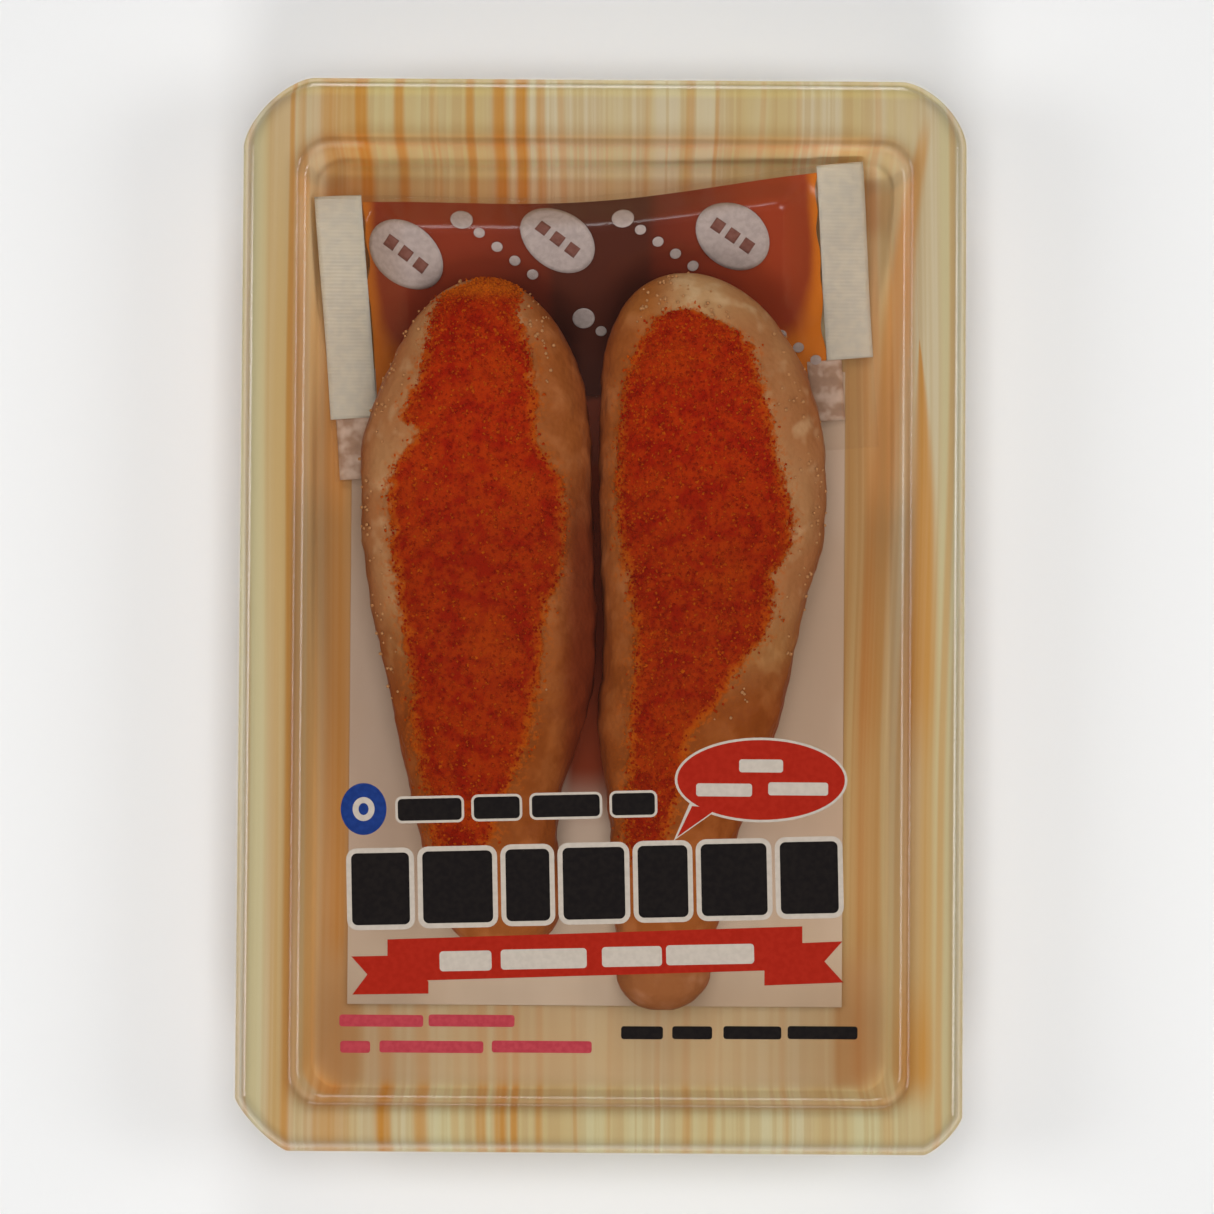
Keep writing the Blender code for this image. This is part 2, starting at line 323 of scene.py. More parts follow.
class Paint:
    """The nodes of one material, called m below. Most methods add a node and return its result."""

    def __init__(self, name):
        self.material = bpy.data.materials.new(name)
        self.material.use_nodes = True
        self.tree = self.material.node_tree
        self.tree.nodes.clear()
        self.place = self.put("TexCoord").outputs["Object"]
        self.x, self.y, self.z = self.put("SeparateXYZ", {0: self.place}).outputs

    def put(self, kind, inputs=None, **settings):
        return put(self.tree, kind, inputs, **settings)

    def calc(self, operation, first, second=0.0, third=0.0, use_clamp=False):
        inputs = {0: first, 1: second, 2: third}
        return self.put("Math", inputs, operation=operation, use_clamp=use_clamp).outputs[0]

    def times(self, first, *others):
        for other in others:
            first = self.calc("MULTIPLY", first, other)
        return first

    def line(self, value, factor, start):
        """The start plus factor times value."""
        return self.calc("MULTIPLY_ADD", value, factor, start)

    def off(self, value, middle):
        """How far value is from the middle."""
        return self.calc("ABSOLUTE", self.calc("SUBTRACT", value, middle))

    def strongest(self, shares):
        total = 0.0
        for share in shares:
            total = self.calc("MAXIMUM", total, share)
        return total

    def between(self, value, low, high):
        """0 where value is at low, 1 where it is at high."""
        inputs = {"Value": value, "From Min": low, "From Max": high}
        return self.put("MapRange", inputs, interpolation_type="SMOOTHSTEP", clamp=True).outputs[0]

    def within(self, *bounds):
        """1 inside all bounds: each names a share, or a coordinate with the places where it is 0 and 1."""
        shares = []
        for bound in bounds:
            if isinstance(bound, str):
                shares.append(getattr(self, bound))
            else:
                shares.append(self.between(getattr(self, bound[0]), *bound[1:]))
        return self.times(*shares)

    def mixed(self, share, first, second):
        """Colour from first, at share 0, to second, at share 1."""
        colours = [c if isinstance(c, bpy.types.NodeSocket) else (*c, 1.0) for c in (first, second)]
        inputs = {0: share, 6: colours[0], 7: colours[1]}
        return self.put("Mix", inputs, data_type="RGBA", clamp_factor=True).outputs[2]

    def toned(self, colour, tones):
        """The colour, multiplied by each tone within its bounds. A tone is a label, a colour and bounds."""
        for label, tone, *bounds in tones:
            inputs = {0: self.within(*bounds), 6: colour, 7: (*tone, 1.0)}
            colour = self.put("Mix", inputs, data_type="RGBA", blend_type="MULTIPLY", label=label).outputs[2]
        return colour

    def grain(self, scale, detail=2.0, roughness=0.5, place=None):
        inputs = {"Vector": place or self.place, "Scale": scale, "Detail": detail, "Roughness": roughness}
        return self.put("TexNoise", inputs).outputs[0]

    def fibres(self, x_scale, y_scale, detail, roughness=0.5, layer=0.0):
        """Grain drawn out along Y. Each layer is another draw."""
        inputs = {0: self.times(self.x, x_scale), 1: self.times(self.y, y_scale), 2: layer}
        return self.grain(1.0, detail, roughness, self.put("CombineXYZ", inputs).outputs[0])

    def attribute(self, name):
        return self.put("Attribute", attribute_name=name).outputs["Fac"]

    def bumped(self, height, distance, strength, normal=None):
        inputs = {"Height": height, "Distance": distance, "Strength": strength}
        if normal is not None:
            inputs["Normal"] = normal
        return self.put("Bump", inputs).outputs[0]

    def finished(self, shader):
        """Ends the material with this shader and returns it."""
        self.put("OutputMaterial", {"Surface": shader.outputs[0]})
        return self.material

    def surface(self, colour, roughness, specular=0.5, normal=None):
        inputs = {"Base Color": colour, "Roughness": roughness, "Specular IOR Level": specular}
        if normal is not None:
            inputs["Normal"] = normal
        return self.finished(self.put("BsdfPrincipled", inputs))

    def clear_sheet(self, body, gloss, most):
        """What shows through a thin sheet, with its reflection: stronger at a slant, but no more than most.

        The sheet reflects the same from both of its faces.
        """
        facing = self.put("LayerWeight", {"Blend": 0.5}).outputs["Facing"]
        slant = self.calc("POWER", facing, 5.0)
        share = self.calc("MINIMUM", self.line(slant, 1.0 - STRAIGHT_ON, STRAIGHT_ON), most)
        shine = self.put("MixShader", {0: share, 2: gloss.outputs[0]})
        return self.finished(self.put("AddShader", {0: body.outputs[0], 1: shine.outputs[0]}))


# Materials

# Streaks of the wood grain: (x at the far end, x at the near end, half width far, half width near, strength).
# A half width below nothing means that the streak ends short of that end.
WOOD_STREAKS = (
    (-0.0455, -0.0455, 0.0026, 0.0014, 0.28),
    (-0.0428, -0.0437, 0.0006, 0.0008, 0.40),
    (-0.0441, -0.0441, 0.0004, 0.0008, 0.75),
    (-0.0501, -0.0501, 0.0007, 0.0004, 0.35),
    (-0.0386, -0.0382, 0.0008, 0.0014, 0.65),
    (-0.0380, -0.0380, 0.0030, 0.0032, 0.55),
    (-0.0348, -0.0300, 0.0010, 0.0011, 0.95),
    (-0.0294, -0.0247, 0.0007, 0.0010, 0.75),
    (-0.0246, -0.0199, 0.0006, 0.0006, 0.40),
    (-0.0195, -0.0163, 0.0006, 0.0008, 0.70),
    (-0.0153, -0.0137, 0.0009, 0.0009, 0.90),
    (-0.0122, -0.0118, 0.0009, 0.0005, 0.95),
    (-0.0094, -0.0082, 0.0006, 0.0005, 0.55),
    (-0.0066, -0.0030, 0.0005, 0.0003, 0.35),
    (0.0063, 0.0014, 0.0004, 0.0004, 0.20),
    (0.0122, 0.0085, 0.0006, 0.0004, 0.40),
    (0.0160, 0.0126, 0.0003, 0.0006, 0.40),
    (0.0225, 0.0160, 0.0004, 0.0006, 0.35),
    (0.0274, 0.0265, 0.0004, 0.0005, 0.30),
    (0.0384, 0.0410, 0.0005, 0.0006, 0.35),
    (0.0490, 0.0479, 0.0005, 0.0006, 0.50),
)
STREAK_EDGE = (1.5, 0.4)
THINNEST_STREAK = 0.00001
STREAK_STRENGTH = (0.5, 0.68)

# Streaks that curve down the right wall: the same values, how fast they curve, where along Y they show, and
# where they are weaker by how much
CURVED_STREAKS = ((0.0467, 0.0385, 0.0005, 0.0020, 0.65), (0.0420, 0.0450, -0.0056, 0.0025, 0.88))
CURVE_POWER = 4.2
CURVES_SHOW = (("y", 0.0720, 0.0640), ("y", -0.0710, -0.0640))
CURVES_WEAK = (("y", -0.008, -0.026), ("y", -0.062, -0.048))
CURVES_WEAKER = 0.45
PACK_LENGTH = 0.1528

# Pale bands along the sides: (x, half width), and how strong they are
PALE_BANDS = ((-0.0486, 0.0013), (0.0481, 0.0011))
PALE_BAND_STRENGTH = 0.8

# How far the wood grain sways across, in all and more on the right side
SWAY = 0.0022
SWAY_RIGHT = 0.0030

# Colours of the foam: two of its ground, then its wide bands, fine lines, pale bands, streaks and plain floor
CREAMS = ((0.56, 0.50, 0.28), (0.56, 0.47, 0.31))
WIDE_BAND = (0.52, 0.39, 0.185)
FINE_LINE = (0.46, 0.30, 0.125)
PALE_BAND = (0.54, 0.465, 0.26)
STREAK = (0.50, 0.215, 0.032)
PLAIN_WOOD = (0.55, 0.380, 0.208)

# Where the foam changes. side is the distance from the middle line.
UNDER_RIM = ("z", 0.0242, 0.0225)
ON_FLOOR = ("z", 0.0045, 0.0017)
AT_SIDES = (("side", 0.0330, 0.0350), ("y", 0.056, 0.040))
PLAIN_PLACE = (ON_FLOOR, ("y", -0.0450, -0.0520))
PAST_SIDES = ("side", 0.0460, 0.0475)
PAST_END = (0.0700, 0.0715)
BESIDE_SACHET = (("y", 0.012, 0.022), ("side", 0.036, 0.038))
PAST_SACHET = ("y", 0.0560, 0.0600)
FAR_CORNERS = (("side", 0.0365, 0.0385), ("y", 0.0610, 0.0630))

# Tones multiplied into the wood grain from place to place, most of them painted light: the walls brightened
# where they lie in shade, with the floor tone taking most of that back off the floor, a painted shadow of the
# sachet on the far floor, painted shade on the far edge of the mouth, a painted highlight on the far lip, and
# painted shade, darker and more orange, on the sides of the floor. foam_material makes the shares inside and
# by_sachet.
FOAM_TONES_AND_PAINTED_LIGHT = (
    # painted light: the walls under the rim, and more so lower down, brightened where they lie in shade
    ("upper walls", (1.26, 1.18, 1.10), UNDER_RIM, "inside"),
    ("walls", (1.28, 1.40, 1.57), ("z", 0.0215, 0.0150), "inside"),
    # takes most of the walls' painted light back off the floor
    ("floor", (0.63, 0.60, 0.60), ON_FLOOR),
    # painted light on the upper walls beside and past the sachet, and low on the far wall
    ("upper walls by the sachet", (1.24, 1.16, 1.08), "by_sachet", UNDER_RIM, "inside"),
    ("far wall", (1.20, 1.22, 1.22), ("z", 0.0190, 0.0110), ("y", 0.0635, 0.0645), "inside"),
    # painted shadow of the sachet on the floor beyond its far edge
    ("far floor", (0.86, 0.74, 0.68), ON_FLOOR, ("y", 0.0645, 0.0630), ("y", 0.0540, 0.0580)),
    # painted shade on the far edge of the mouth, where the rim turns down
    ("far edge of the mouth", (0.90, 0.85, 0.80), ("z", 0.0225, 0.0242), ("side", 0.038, 0.034),
     ("y", 0.0702, 0.0675), ("y", 0.0600, 0.0640)),
    # painted highlight on the far lip
    ("far lip", (1.22, 1.25, 1.08), ("y", 0.0725, 0.0738)),
    # painted shade, darker and more orange, on the sides of the floor; the foot of the left wall is only more
    # orange
    ("sides of the floor", (0.90, 0.80, 0.68), ON_FLOOR, *AT_SIDES),
    ("left side of the floor", (0.95, 0.90, 0.82), ON_FLOOR, *AT_SIDES, ("x", -0.030, -0.034)),
    ("right side of the floor", (0.95, 0.82, 0.72), ON_FLOOR, ("x", 0.0335, 0.0350), ("x", 0.0395, 0.0375)),
    ("foot of the left wall", (1.06, 0.88, 0.64), ("z", 0.0130, 0.0090), ("z", 0.0017, 0.0045), *AT_SIDES,
     ("x", -0.036, -0.038)),
)


def streak(m, along, far_x, near_x, far_half, near_half, strength):
    middle = m.line(along, near_x - far_x, far_x)
    half = m.calc("MAXIMUM", m.line(along, near_half - far_half, far_half), THINNEST_STREAK)
    reach = m.calc("DIVIDE", m.off(m.x, middle), half)
    return m.times(m.between(reach, *STREAK_EDGE), strength)


def wood_streaks(m):
    """How much of the streaks' colour shows."""
    along = m.line(m.y, -1 / PACK_LENGTH, 0.5)
    ahead = m.calc("SUBTRACT", 1.0, along, use_clamp=True)
    curved = m.calc("SUBTRACT", 1.0, m.calc("POWER", ahead, CURVE_POWER))
    curves = m.strongest(streak(m, curved, *values) for values in CURVED_STREAKS)
    weaker = m.line(m.within(*CURVES_WEAK), -CURVES_WEAKER, 1.0)
    curves = m.times(curves, m.within(*CURVES_SHOW), weaker)
    return m.strongest([curves, *(streak(m, along, *values) for values in WOOD_STREAKS)])


def foam_material():
    """Foam sheet printed with wood grain, which runs along the pack."""
    m = Paint("tray_foam")
    sway = m.calc("SUBTRACT", m.fibres(14.0, 9.0, 1.0), 0.5)
    reach = m.line(m.between(m.x, 0.024, 0.040), SWAY_RIGHT, SWAY)
    m.x = m.calc("ADD", m.x, m.times(sway, reach))
    m.side = m.calc("ABSOLUTE", m.x)
    wide = m.fibres(190.0, 5.0, 2.0, layer=3.0)
    lines = m.fibres(1050.0, 6.0, 1.5, 0.6, layer=7.0)
    cream = m.mixed(m.between(m.fibres(60.0, 4.0, 1.0, layer=11.0), 0.40, 0.62), *CREAMS)
    colour = m.mixed(m.between(wide, 0.38, 0.68), cream, WIDE_BAND)
    colour = m.mixed(m.times(m.between(lines, 0.44, 0.60), 0.45), colour, FINE_LINE)
    for middle, half in PALE_BANDS:
        share = m.between(m.off(m.x, middle), half * 1.4, half * 0.5)
        colour = m.mixed(m.times(share, PALE_BAND_STRENGTH), colour, PALE_BAND)
    streaks = m.times(wood_streaks(m), m.line(lines, *STREAK_STRENGTH))
    colour = m.mixed(streaks, colour, STREAK)
    colour = m.mixed(m.times(m.within(*PLAIN_PLACE), 0.6), colour, PLAIN_WOOD)
    past_ends = m.between(m.calc("ABSOLUTE", m.y), *PAST_END)
    outside = m.calc("MAXIMUM", m.within(PAST_SIDES), past_ends)
    m.inside = m.calc("SUBTRACT", 1.0, outside)
    # by_sachet is where the upper walls beside and past the sachet get painted light, less in the far corners
    by_sachet = m.calc("MAXIMUM", m.within(PAST_SACHET), m.within(*BESIDE_SACHET))
    m.by_sachet = m.times(by_sachet, m.line(m.within(*FAR_CORNERS), -0.9, 1.0))
    # painted light and shade, from the table of tones
    colour = m.toned(colour, FOAM_TONES_AND_PAINTED_LIGHT)
    cells = m.grain(900.0, 1.0)
    normal = m.bumped(m.grain(160.0, 0.0), 0.0004, 0.10, m.bumped(cells, 0.00006, 0.25))
    return m.surface(colour, m.line(cells, 0.18, 0.40), MATT, normal)


def lid_material():
    """Clear sheet: nothing but a reflection, stronger at a slant, and a little blurred here and there."""
    m = Paint("lid_clear")
    inputs = {"Vector": m.place, "Scale": 70.0, "Detail": 0.0}
    haze = m.put("TexNoise", inputs, noise_dimensions="2D").outputs[0]
    clear = m.put("BsdfTransparent", {"Color": (0.985, 0.98, 0.97, 1.0)})
    gloss = m.put("BsdfGlossy", {"Color": (1.0, 1.0, 1.0, 1.0), "Roughness": m.line(haze, 0.08, 0.10)})
    return m.clear_sheet(clear, gloss, LID_SHINE)


LINER_PALES = ((0.56, 0.42, 0.32), (0.51, 0.36, 0.255))
LINER_FIBRE = (0.45, 0.32, 0.23)
LINER_SHADE_AND_STAIN = (0.22, 0.034, 0.010)
# Painted light on the liner: painted shade along its left edge, and its near end brightened where it lies in
# shade
LINER_PAINTED_LIGHT = (
    ("left edge", (0.86, 0.86, 0.87), ("x", -0.020, -0.030)),
    ("near end", (1.10, 1.14, 1.12), ("y", -0.035, -0.050)),
)


def liner_material():
    """Pale sheet, darker and red between the sacs: painted shade tinted red there, together with a red stain
    of roe juice.
    """
    m = Paint("liner_sheet")
    fibres = m.fibres(500.0, 60.0, 2.0)
    colour = m.mixed(m.between(m.grain(45.0), 0.35, 0.65), *LINER_PALES)
    colour = m.mixed(m.times(fibres, 0.35), colour, LINER_FIBRE)
    # painted shade tinted red between the sacs, together with a red stain of roe juice
    shade_and_stain_share = m.times(m.between(m.off(m.x, -0.0010), 0.0062, 0.0028), m.within(("y", -0.031, -0.021)))
    colour = m.toned(m.mixed(shade_and_stain_share, colour, LINER_SHADE_AND_STAIN), LINER_PAINTED_LIGHT)
    return m.surface(colour, m.line(fibres, 0.15, 0.42), MATT, m.bumped(fibres, 0.00005, 0.25))


SAUCE_THIN = (0.46, 0.125, 0.008)
SAUCE_DEEP = (0.22, 0.028, 0.009)
SAUCE_DEEPEST = (0.110, 0.017, 0.007)
SAUCE_SHADE_BETWEEN_SACS = (0.075, 0.015, 0.007)
SAUCE_TONES = (("right side", (1.35, 1.35, 1.1), ("x", 0.012, 0.022)),)


def sauce_material():
    """Dark sauce, paler where it is thin, darkest in the middle, and with painted shade between the sacs."""
    m = Paint("sauce")
    cloud = m.grain(90.0, 3.0)
    depth = m.calc("ADD", m.attribute("depth"), m.line(cloud, 0.30, -0.15))
    side = m.off(m.x, -0.0005)
    middle = m.between(m.line(cloud, 0.008, side), 0.024, 0.006)
    colour = m.mixed(m.between(depth, 0.02, 0.35), SAUCE_THIN, SAUCE_DEEP)
    colour = m.mixed(m.times(middle, m.between(depth, 0.2, 0.8)), colour, SAUCE_DEEPEST)
    # painted shade on the sauce between the sacs
    colour = m.mixed(m.between(side, 0.0085, 0.0060), colour, SAUCE_SHADE_BETWEEN_SACS)
    colour = m.toned(colour, SAUCE_TONES)
    return m.surface(colour, m.line(cloud, 0.2, 0.35), MATT, m.bumped(cloud, 0.0003, 0.2))


FILM_CLEAR = (0.96, 0.95, 0.93, 1.0)
FILM_MILK = (0.62, 0.50, 0.40, 1.0)
FILM_MILKY = 0.010
SEAL_PALES = ((0.53, 0.49, 0.41), (0.58, 0.53, 0.43))
FLAP_PALES = ((0.50, 0.31, 0.21), (0.66, 0.48, 0.37))


def film_material():
    """Thin clear film with creases, a little milky."""
    m = Paint("sachet_film")
    creases = m.grain(210.0, 1.0, 0.6)
    clear = m.put("BsdfTransparent", {"Color": FILM_CLEAR})
    milk = m.put("BsdfDiffuse", {"Color": FILM_MILK})
    normal = m.bumped(creases, 0.0007, 0.4)
    gloss = m.put("BsdfGlossy", {"Roughness": m.line(creases, 0.2, 0.10), "Normal": normal})
    body = m.put("MixShader", {0: FILM_MILKY, 1: clear.outputs[0], 2: milk.outputs[0]})
    return m.clear_sheet(body, gloss, FILM_SHINE)


def seal_material():
    """Pale opaque seal band, ribbed across by the sealing bar."""
    m = Paint("sachet_seal")
    mottle = m.grain(700.0)
    colour = m.mixed(m.between(mottle, 0.35, 0.65), *SEAL_PALES)
    inputs = {"Vector": m.place, "Scale": 620.0, "Distortion": 0.4}
    ribs = m.put("TexWave", inputs, bands_direction="Y").outputs[1]
    return m.surface(colour, m.line(mottle, 0.2, 0.32), 0.15, m.bumped(ribs, 0.00008, 0.4))


def flap_material():
    """Folded film below the seal bands: milky, and half clear."""
    m = Paint("sachet_flap")
    creases = m.grain(420.0)
    milk = m.mixed(m.between(creases, 0.40, 0.62), *FLAP_PALES)
    clear = m.put("BsdfTransparent", {"Color": FILM_CLEAR})
    shine = m.put("BsdfPrincipled", {"Base Color": milk, "Roughness": 0.25, "Specular IOR Level": 0.3})
    inputs = {0: m.line(creases, 0.6, 0.35), 1: clear.outputs[0], 2: shine.outputs[0]}
    return m.finished(m.put("MixShader", inputs))


def ink_material(name, dark, light):
    """Printed ink with the slight mottle of a print on film."""
    m = Paint(name)
    mottle = m.grain(1300.0)
    colour = m.mixed(m.between(mottle, 0.3, 0.7), dark, light)
    return m.surface(colour, m.line(mottle, 0.15, 0.35), 0.04, m.bumped(mottle, 0.00002, 0.2))


# Chili: its reds, the orange among them, at the left sac's far tip and round the rim, and its dark grains
CHILI_REDS = ((0.235, 0.009, 0.0004), (0.300, 0.024, 0.0006))
CHILI_ORANGE = (0.335, 0.043, 0.001)
CHILI_TIP = (0.54, 0.125, 0.004)
CHILI_RIM = (0.42, 0.088, 0.003)
CHILI_DARK = (0.17, 0.006, 0.0005)
CHILI_TONES = (("far half", (1.20, 1.0, 1.0), ("y", 0.004, 0.028)),)
LEFT_TIP = (("y", 0.0440, 0.0465), ("x", 0.0, -0.002))
FLAKE_DARK = (0.20, 0.008, 0.0004)
FLAKE_PALE = (0.48, 0.100, 0.003)

# Membrane: its ground, its pale spots, the riper colour near the cleft and the near ends, darker near the
# cleft as painted shade too, painted shade on its underside, and chili dust on it
SKIN_GROUND = ((0.38, 0.180, 0.072), (0.34, 0.135, 0.048))
SKIN_PALE = (0.44, 0.235, 0.110)
SKIN_RIPE_AND_SHADED = ((0.27, 0.068, 0.011), (0.34, 0.100, 0.024))
SKIN_LOW_SHADE = (0.25, 0.050, 0.015)
SKIN_DUST = (0.42, 0.085, 0.006)
SKIN_TONES = (
    ("belly", (0.80, 0.68, 0.50), ("y", 0.004, -0.006), ("y", -0.040, -0.028)),
    ("far tip of the right sac", (1.14, 1.36, 1.50), ("y", 0.0400, 0.0440), ("x", 0.0, 0.003)),
    ("near tip", (1.0, 1.28, 2.10), ("y", -0.0490, -0.0520)),
)
BEAD_COLOURS = ((0.37, 0.135, 0.042), (0.43, 0.21, 0.085))

# Where the sacs meet: painted shade in the cleft, together with the red stain the roe has there
CLEFT_X = -0.0013
CLEFT_SHADE_AND_STAIN = (0.140, 0.020, 0.006)
IN_CLEFT = (("from_cleft", -0.0058, -0.0020), ("from_cleft", 0.0014, 0.0002), ("y", 0.026, 0.008))


def chili_colour(m):
    """Chili in patches of red and orange, brighter at the far end and orange at the left sac's far tip."""
    colour = m.mixed(m.between(m.grain(430.0, 2.0, 0.6), 0.36, 0.62), *CHILI_REDS)
    orange = m.times(m.between(m.grain(120.0, 1.0), 0.50, 0.70), 0.40)
    colour = m.toned(m.mixed(orange, colour, CHILI_ORANGE), CHILI_TONES)
    return m.mixed(m.times(m.within(*LEFT_TIP), 0.7), colour, CHILI_TIP)


def roe_material(name):
    """Moist membrane over tiny eggs, with a crust of chili where the attribute edge is above nothing."""
    m = Paint(name)
    fine = m.grain(1500.0, 2.0, 0.6)
    mottle = m.grain(210.0, 2.0, 0.6)
    ragged = m.line(m.grain(620.0, 2.0, 0.65), 0.0034, -0.0017)
    edge = m.calc("ADD", m.attribute("edge"), ragged)
    crust = m.between(edge, -0.0004, 0.0006)
    skin = m.mixed(m.between(m.grain(75.0, 1.0), 0.38, 0.62), *SKIN_GROUND)
    skin = m.mixed(m.between(mottle, 0.52, 0.70), skin, SKIN_PALE)
    ripe_and_shaded = m.mixed(m.between(mottle, 0.42, 0.64), *SKIN_RIPE_AND_SHADED)
    # riper colour at the near ends; near the cleft the darker colour is painted shade as well as the riper
    # colour
    near_cleft = m.between(m.off(m.x, CLEFT_X), 0.0130, 0.0075)
    ripe_and_shade_share = m.calc("MAXIMUM", near_cleft, m.between(m.y, -0.004, -0.014))
    skin = m.toned(m.mixed(m.times(ripe_and_shade_share, 0.9), skin, ripe_and_shaded), SKIN_TONES)
    # painted shade on the underside and lower flanks, from the attribute low
    skin = m.mixed(m.attribute("low"), skin, SKIN_LOW_SHADE)
    dust = m.times(m.between(edge, -0.0026, 0.0004), m.between(fine, 0.50, 0.62), 0.7)
    skin = m.mixed(dust, skin, SKIN_DUST)
    chili = m.mixed(m.times(m.between(edge, 0.0018, 0.0002), 0.7), chili_colour(m), CHILI_RIM)
    chili = m.mixed(m.times(m.between(fine, 0.45, 0.32), 0.4), chili, CHILI_DARK)
    colour = m.mixed(crust, skin, chili)
    # painted shade in the cleft where the sacs meet, together with the red stain the roe has there
    m.from_cleft = m.calc("SUBTRACT", m.x, CLEFT_X)
    colour = m.mixed(m.times(m.within(*IN_CLEFT), 0.85), colour, CLEFT_SHADE_AND_STAIN)
    eggs = m.put("TexVoronoi", {"Vector": m.place, "Scale": 1150.0}).outputs[0]
    height = m.put("Mix", {0: crust, 2: m.times(eggs, -0.5), 3: fine}).outputs[0]
    gloss = m.put("Mix", {0: crust, 2: 0.30, 3: 0.55}).outputs[0]
    roughness = m.calc("ADD", gloss, m.times(fine, 0.12))
    return m.surface(colour, roughness, 0.02, m.bumped(height, 0.00030, 0.55))


def flake_material():
    """Chili flakes, coloured by where they lie, each a little darker or paler than its place."""
    m = Paint("chili_flakes")
    tone = m.attribute("tone")
    colour = m.mixed(m.times(m.between(tone, 0.35, 0.0), 0.7), chili_colour(m), FLAKE_DARK)
    colour = m.mixed(m.times(m.between(tone, 0.65, 1.0), 0.6), colour, FLAKE_PALE)
    return m.surface(colour, m.line(tone, 0.25, 0.38), 0.01)


def bead_material():
    m = Paint("roe_beads")
    tone = m.attribute("tone")
    return m.surface(m.mixed(tone, *BEAD_COLOURS), m.line(tone, 0.1, 0.45), MATT)


def floor_material():
    m = Paint("floor")
    mottle = m.grain(9.0, 0.0)
    colour = m.mixed(mottle, (0.92, 0.92, 0.915), (0.94, 0.94, 0.935))
    return m.surface(colour, m.line(mottle, 0.1, 0.6))


# Meshes


def add_object(name, bm, material, smooth=True):
    mesh = bpy.data.meshes.new(name)
    bm.to_mesh(mesh)
    bm.free()
    if smooth:
        mesh.shade_smooth()
        mesh.set_sharp_from_angle(angle=SHARP_ANGLE)
    mesh.materials.append(material)
    obj = bpy.data.objects.new(name, mesh)
    bpy.context.scene.collection.objects.link(obj)
    return obj


def set_attribute(obj, name, values):
    layer = obj.data.attributes.new(name, "FLOAT", "POINT")
    layer.data.foreach_set("value", values)


def rounded_profile(corners):
    """Rows of (side, far and near inset, height) along a section, each inner corner drawn as a curve.

    A corner is its insets, its height and how far its curve reaches.
    """
    points = [Vector((*insets, height)) for insets, height, _ in corners]
    rows = [points[0]]
    for before, corner, after, (_, _, reach) in zip(points, points[1:], points[2:], corners[1:]):
        legs = [other - corner for other in (before, after)]
        start, end = (corner + leg * (reach / hypot(leg[0], leg[3])) for leg in legs)
        for step in range(BEND_STEPS + 1):
            t = step / BEND_STEPS
            rows.append((1 - t) ** 2 * start + 2 * t * (1 - t) * corner + t * t * end)
    rows.append(points[-1])
    return rows


def ring_points(row, size):
    """A rectangle with rounded or cut corners, anticlockwise from above, inside an outline of this size."""
    side, far, near, height = row
    right = size[0] / 2 - side
    ends = (size[1] / 2 - far, size[1] / 2 - near)
    corners = ((right, ends[0]), (-right, ends[0]), (-right, -ends[1]), (right, -ends[1]))
    fade = smoothstep(side / CUT_FADE)
    points = []
    for quarter, (corner_x, corner_y) in enumerate(corners):
        radius = max(MOUTH_CORNER, CORNER_REACHES[quarter] - CORNER_SHRINK * side)
        power = CORNER_CUTS[quarter] * (1 - fade) + fade
        centre_x = corner_x - copysign(radius, corner_x)
        centre_y = corner_y - copysign(radius, corner_y)
        for step in range(CORNER_STEPS + 1):
            angle = pi / 2 * (quarter + step / CORNER_STEPS)
            x = centre_x + radius * signed_power(cos(angle), power)
            y = centre_y + radius * signed_power(sin(angle), power)
            points.append((x, y, height))
    return points


def around(ring):
    """Each item of a closed ring, with the one after it."""
    return zip(ring, ring[1:] + ring[:1])


def join_rings(bm, first, second):
    """Faces between two closed rings of vertices."""
    for (a, next_a), (b, next_b) in zip(around(first), around(second)):
        bm.faces.new((a, b, next_b, next_a))


def lofted_shell(name, corners, size, wall, material):
    """The visible face of a formed sheet, lofted from its outer edge to its middle, with its wall below."""
    bm = bmesh.new()
    rings = [[bm.verts.new(point) for point in ring_points(row, size)] for row in rounded_profile(corners)]
    for outer, inner in zip(rings, rings[1:]):
        join_rings(bm, inner, outer)
    bm.faces.new(rings[-1])
    obj = add_object(name, bm, material)
    solidify = obj.modifiers.new("wall", "SOLIDIFY")
    solidify.thickness = wall
    solidify.offset = -1.0
    solidify.use_even_offset = True
    return obj


def shifted(insets, amount):
    return tuple(inset + amount for inset in insets)


def make_tray(size):
    corners = (
        (FLANGE_INSETS, FLANGE_BOTTOM, 0.0),
        (FLANGE_INSETS, FLANGE_TOP, 0.0003),
        (LIP_INSETS, FLANGE_TOP + 0.0003, 0.0003),
        (shifted(LIP_INSETS, LIP_LEAN), TRAY_TOP, 0.0018),
        (MOUTH_INSETS, TRAY_TOP, 0.0024),
        (FLOOR_INSETS, TRAY_WALL, 0.0038),
        (shifted(FLOOR_INSETS, 0.0040), TRAY_WALL, 0.0),
    )
    obj = lofted_shell("foam_tray", corners, size, TRAY_WALL, foam_material())
    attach(obj, "root")
    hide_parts("tray")


def make_liner():
    """The liner, whose right edge lies further in than that of its solid."""
    low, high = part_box("liner")
    bm = bmesh.new()
    bmesh.ops.create_cube(bm, size=1.0)
    for vert in bm.verts:
        vert.co = (
            high.x - LINER_TRIM if vert.co.x > 0 else low.x,
            high.y if vert.co.y > 0 else low.y,
            high.z if vert.co.z > 0 else low.z,
        )
    obj = add_object("liner_sheet", bm, liner_material(), smooth=False)
    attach(obj, "root")
    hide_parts("liner")


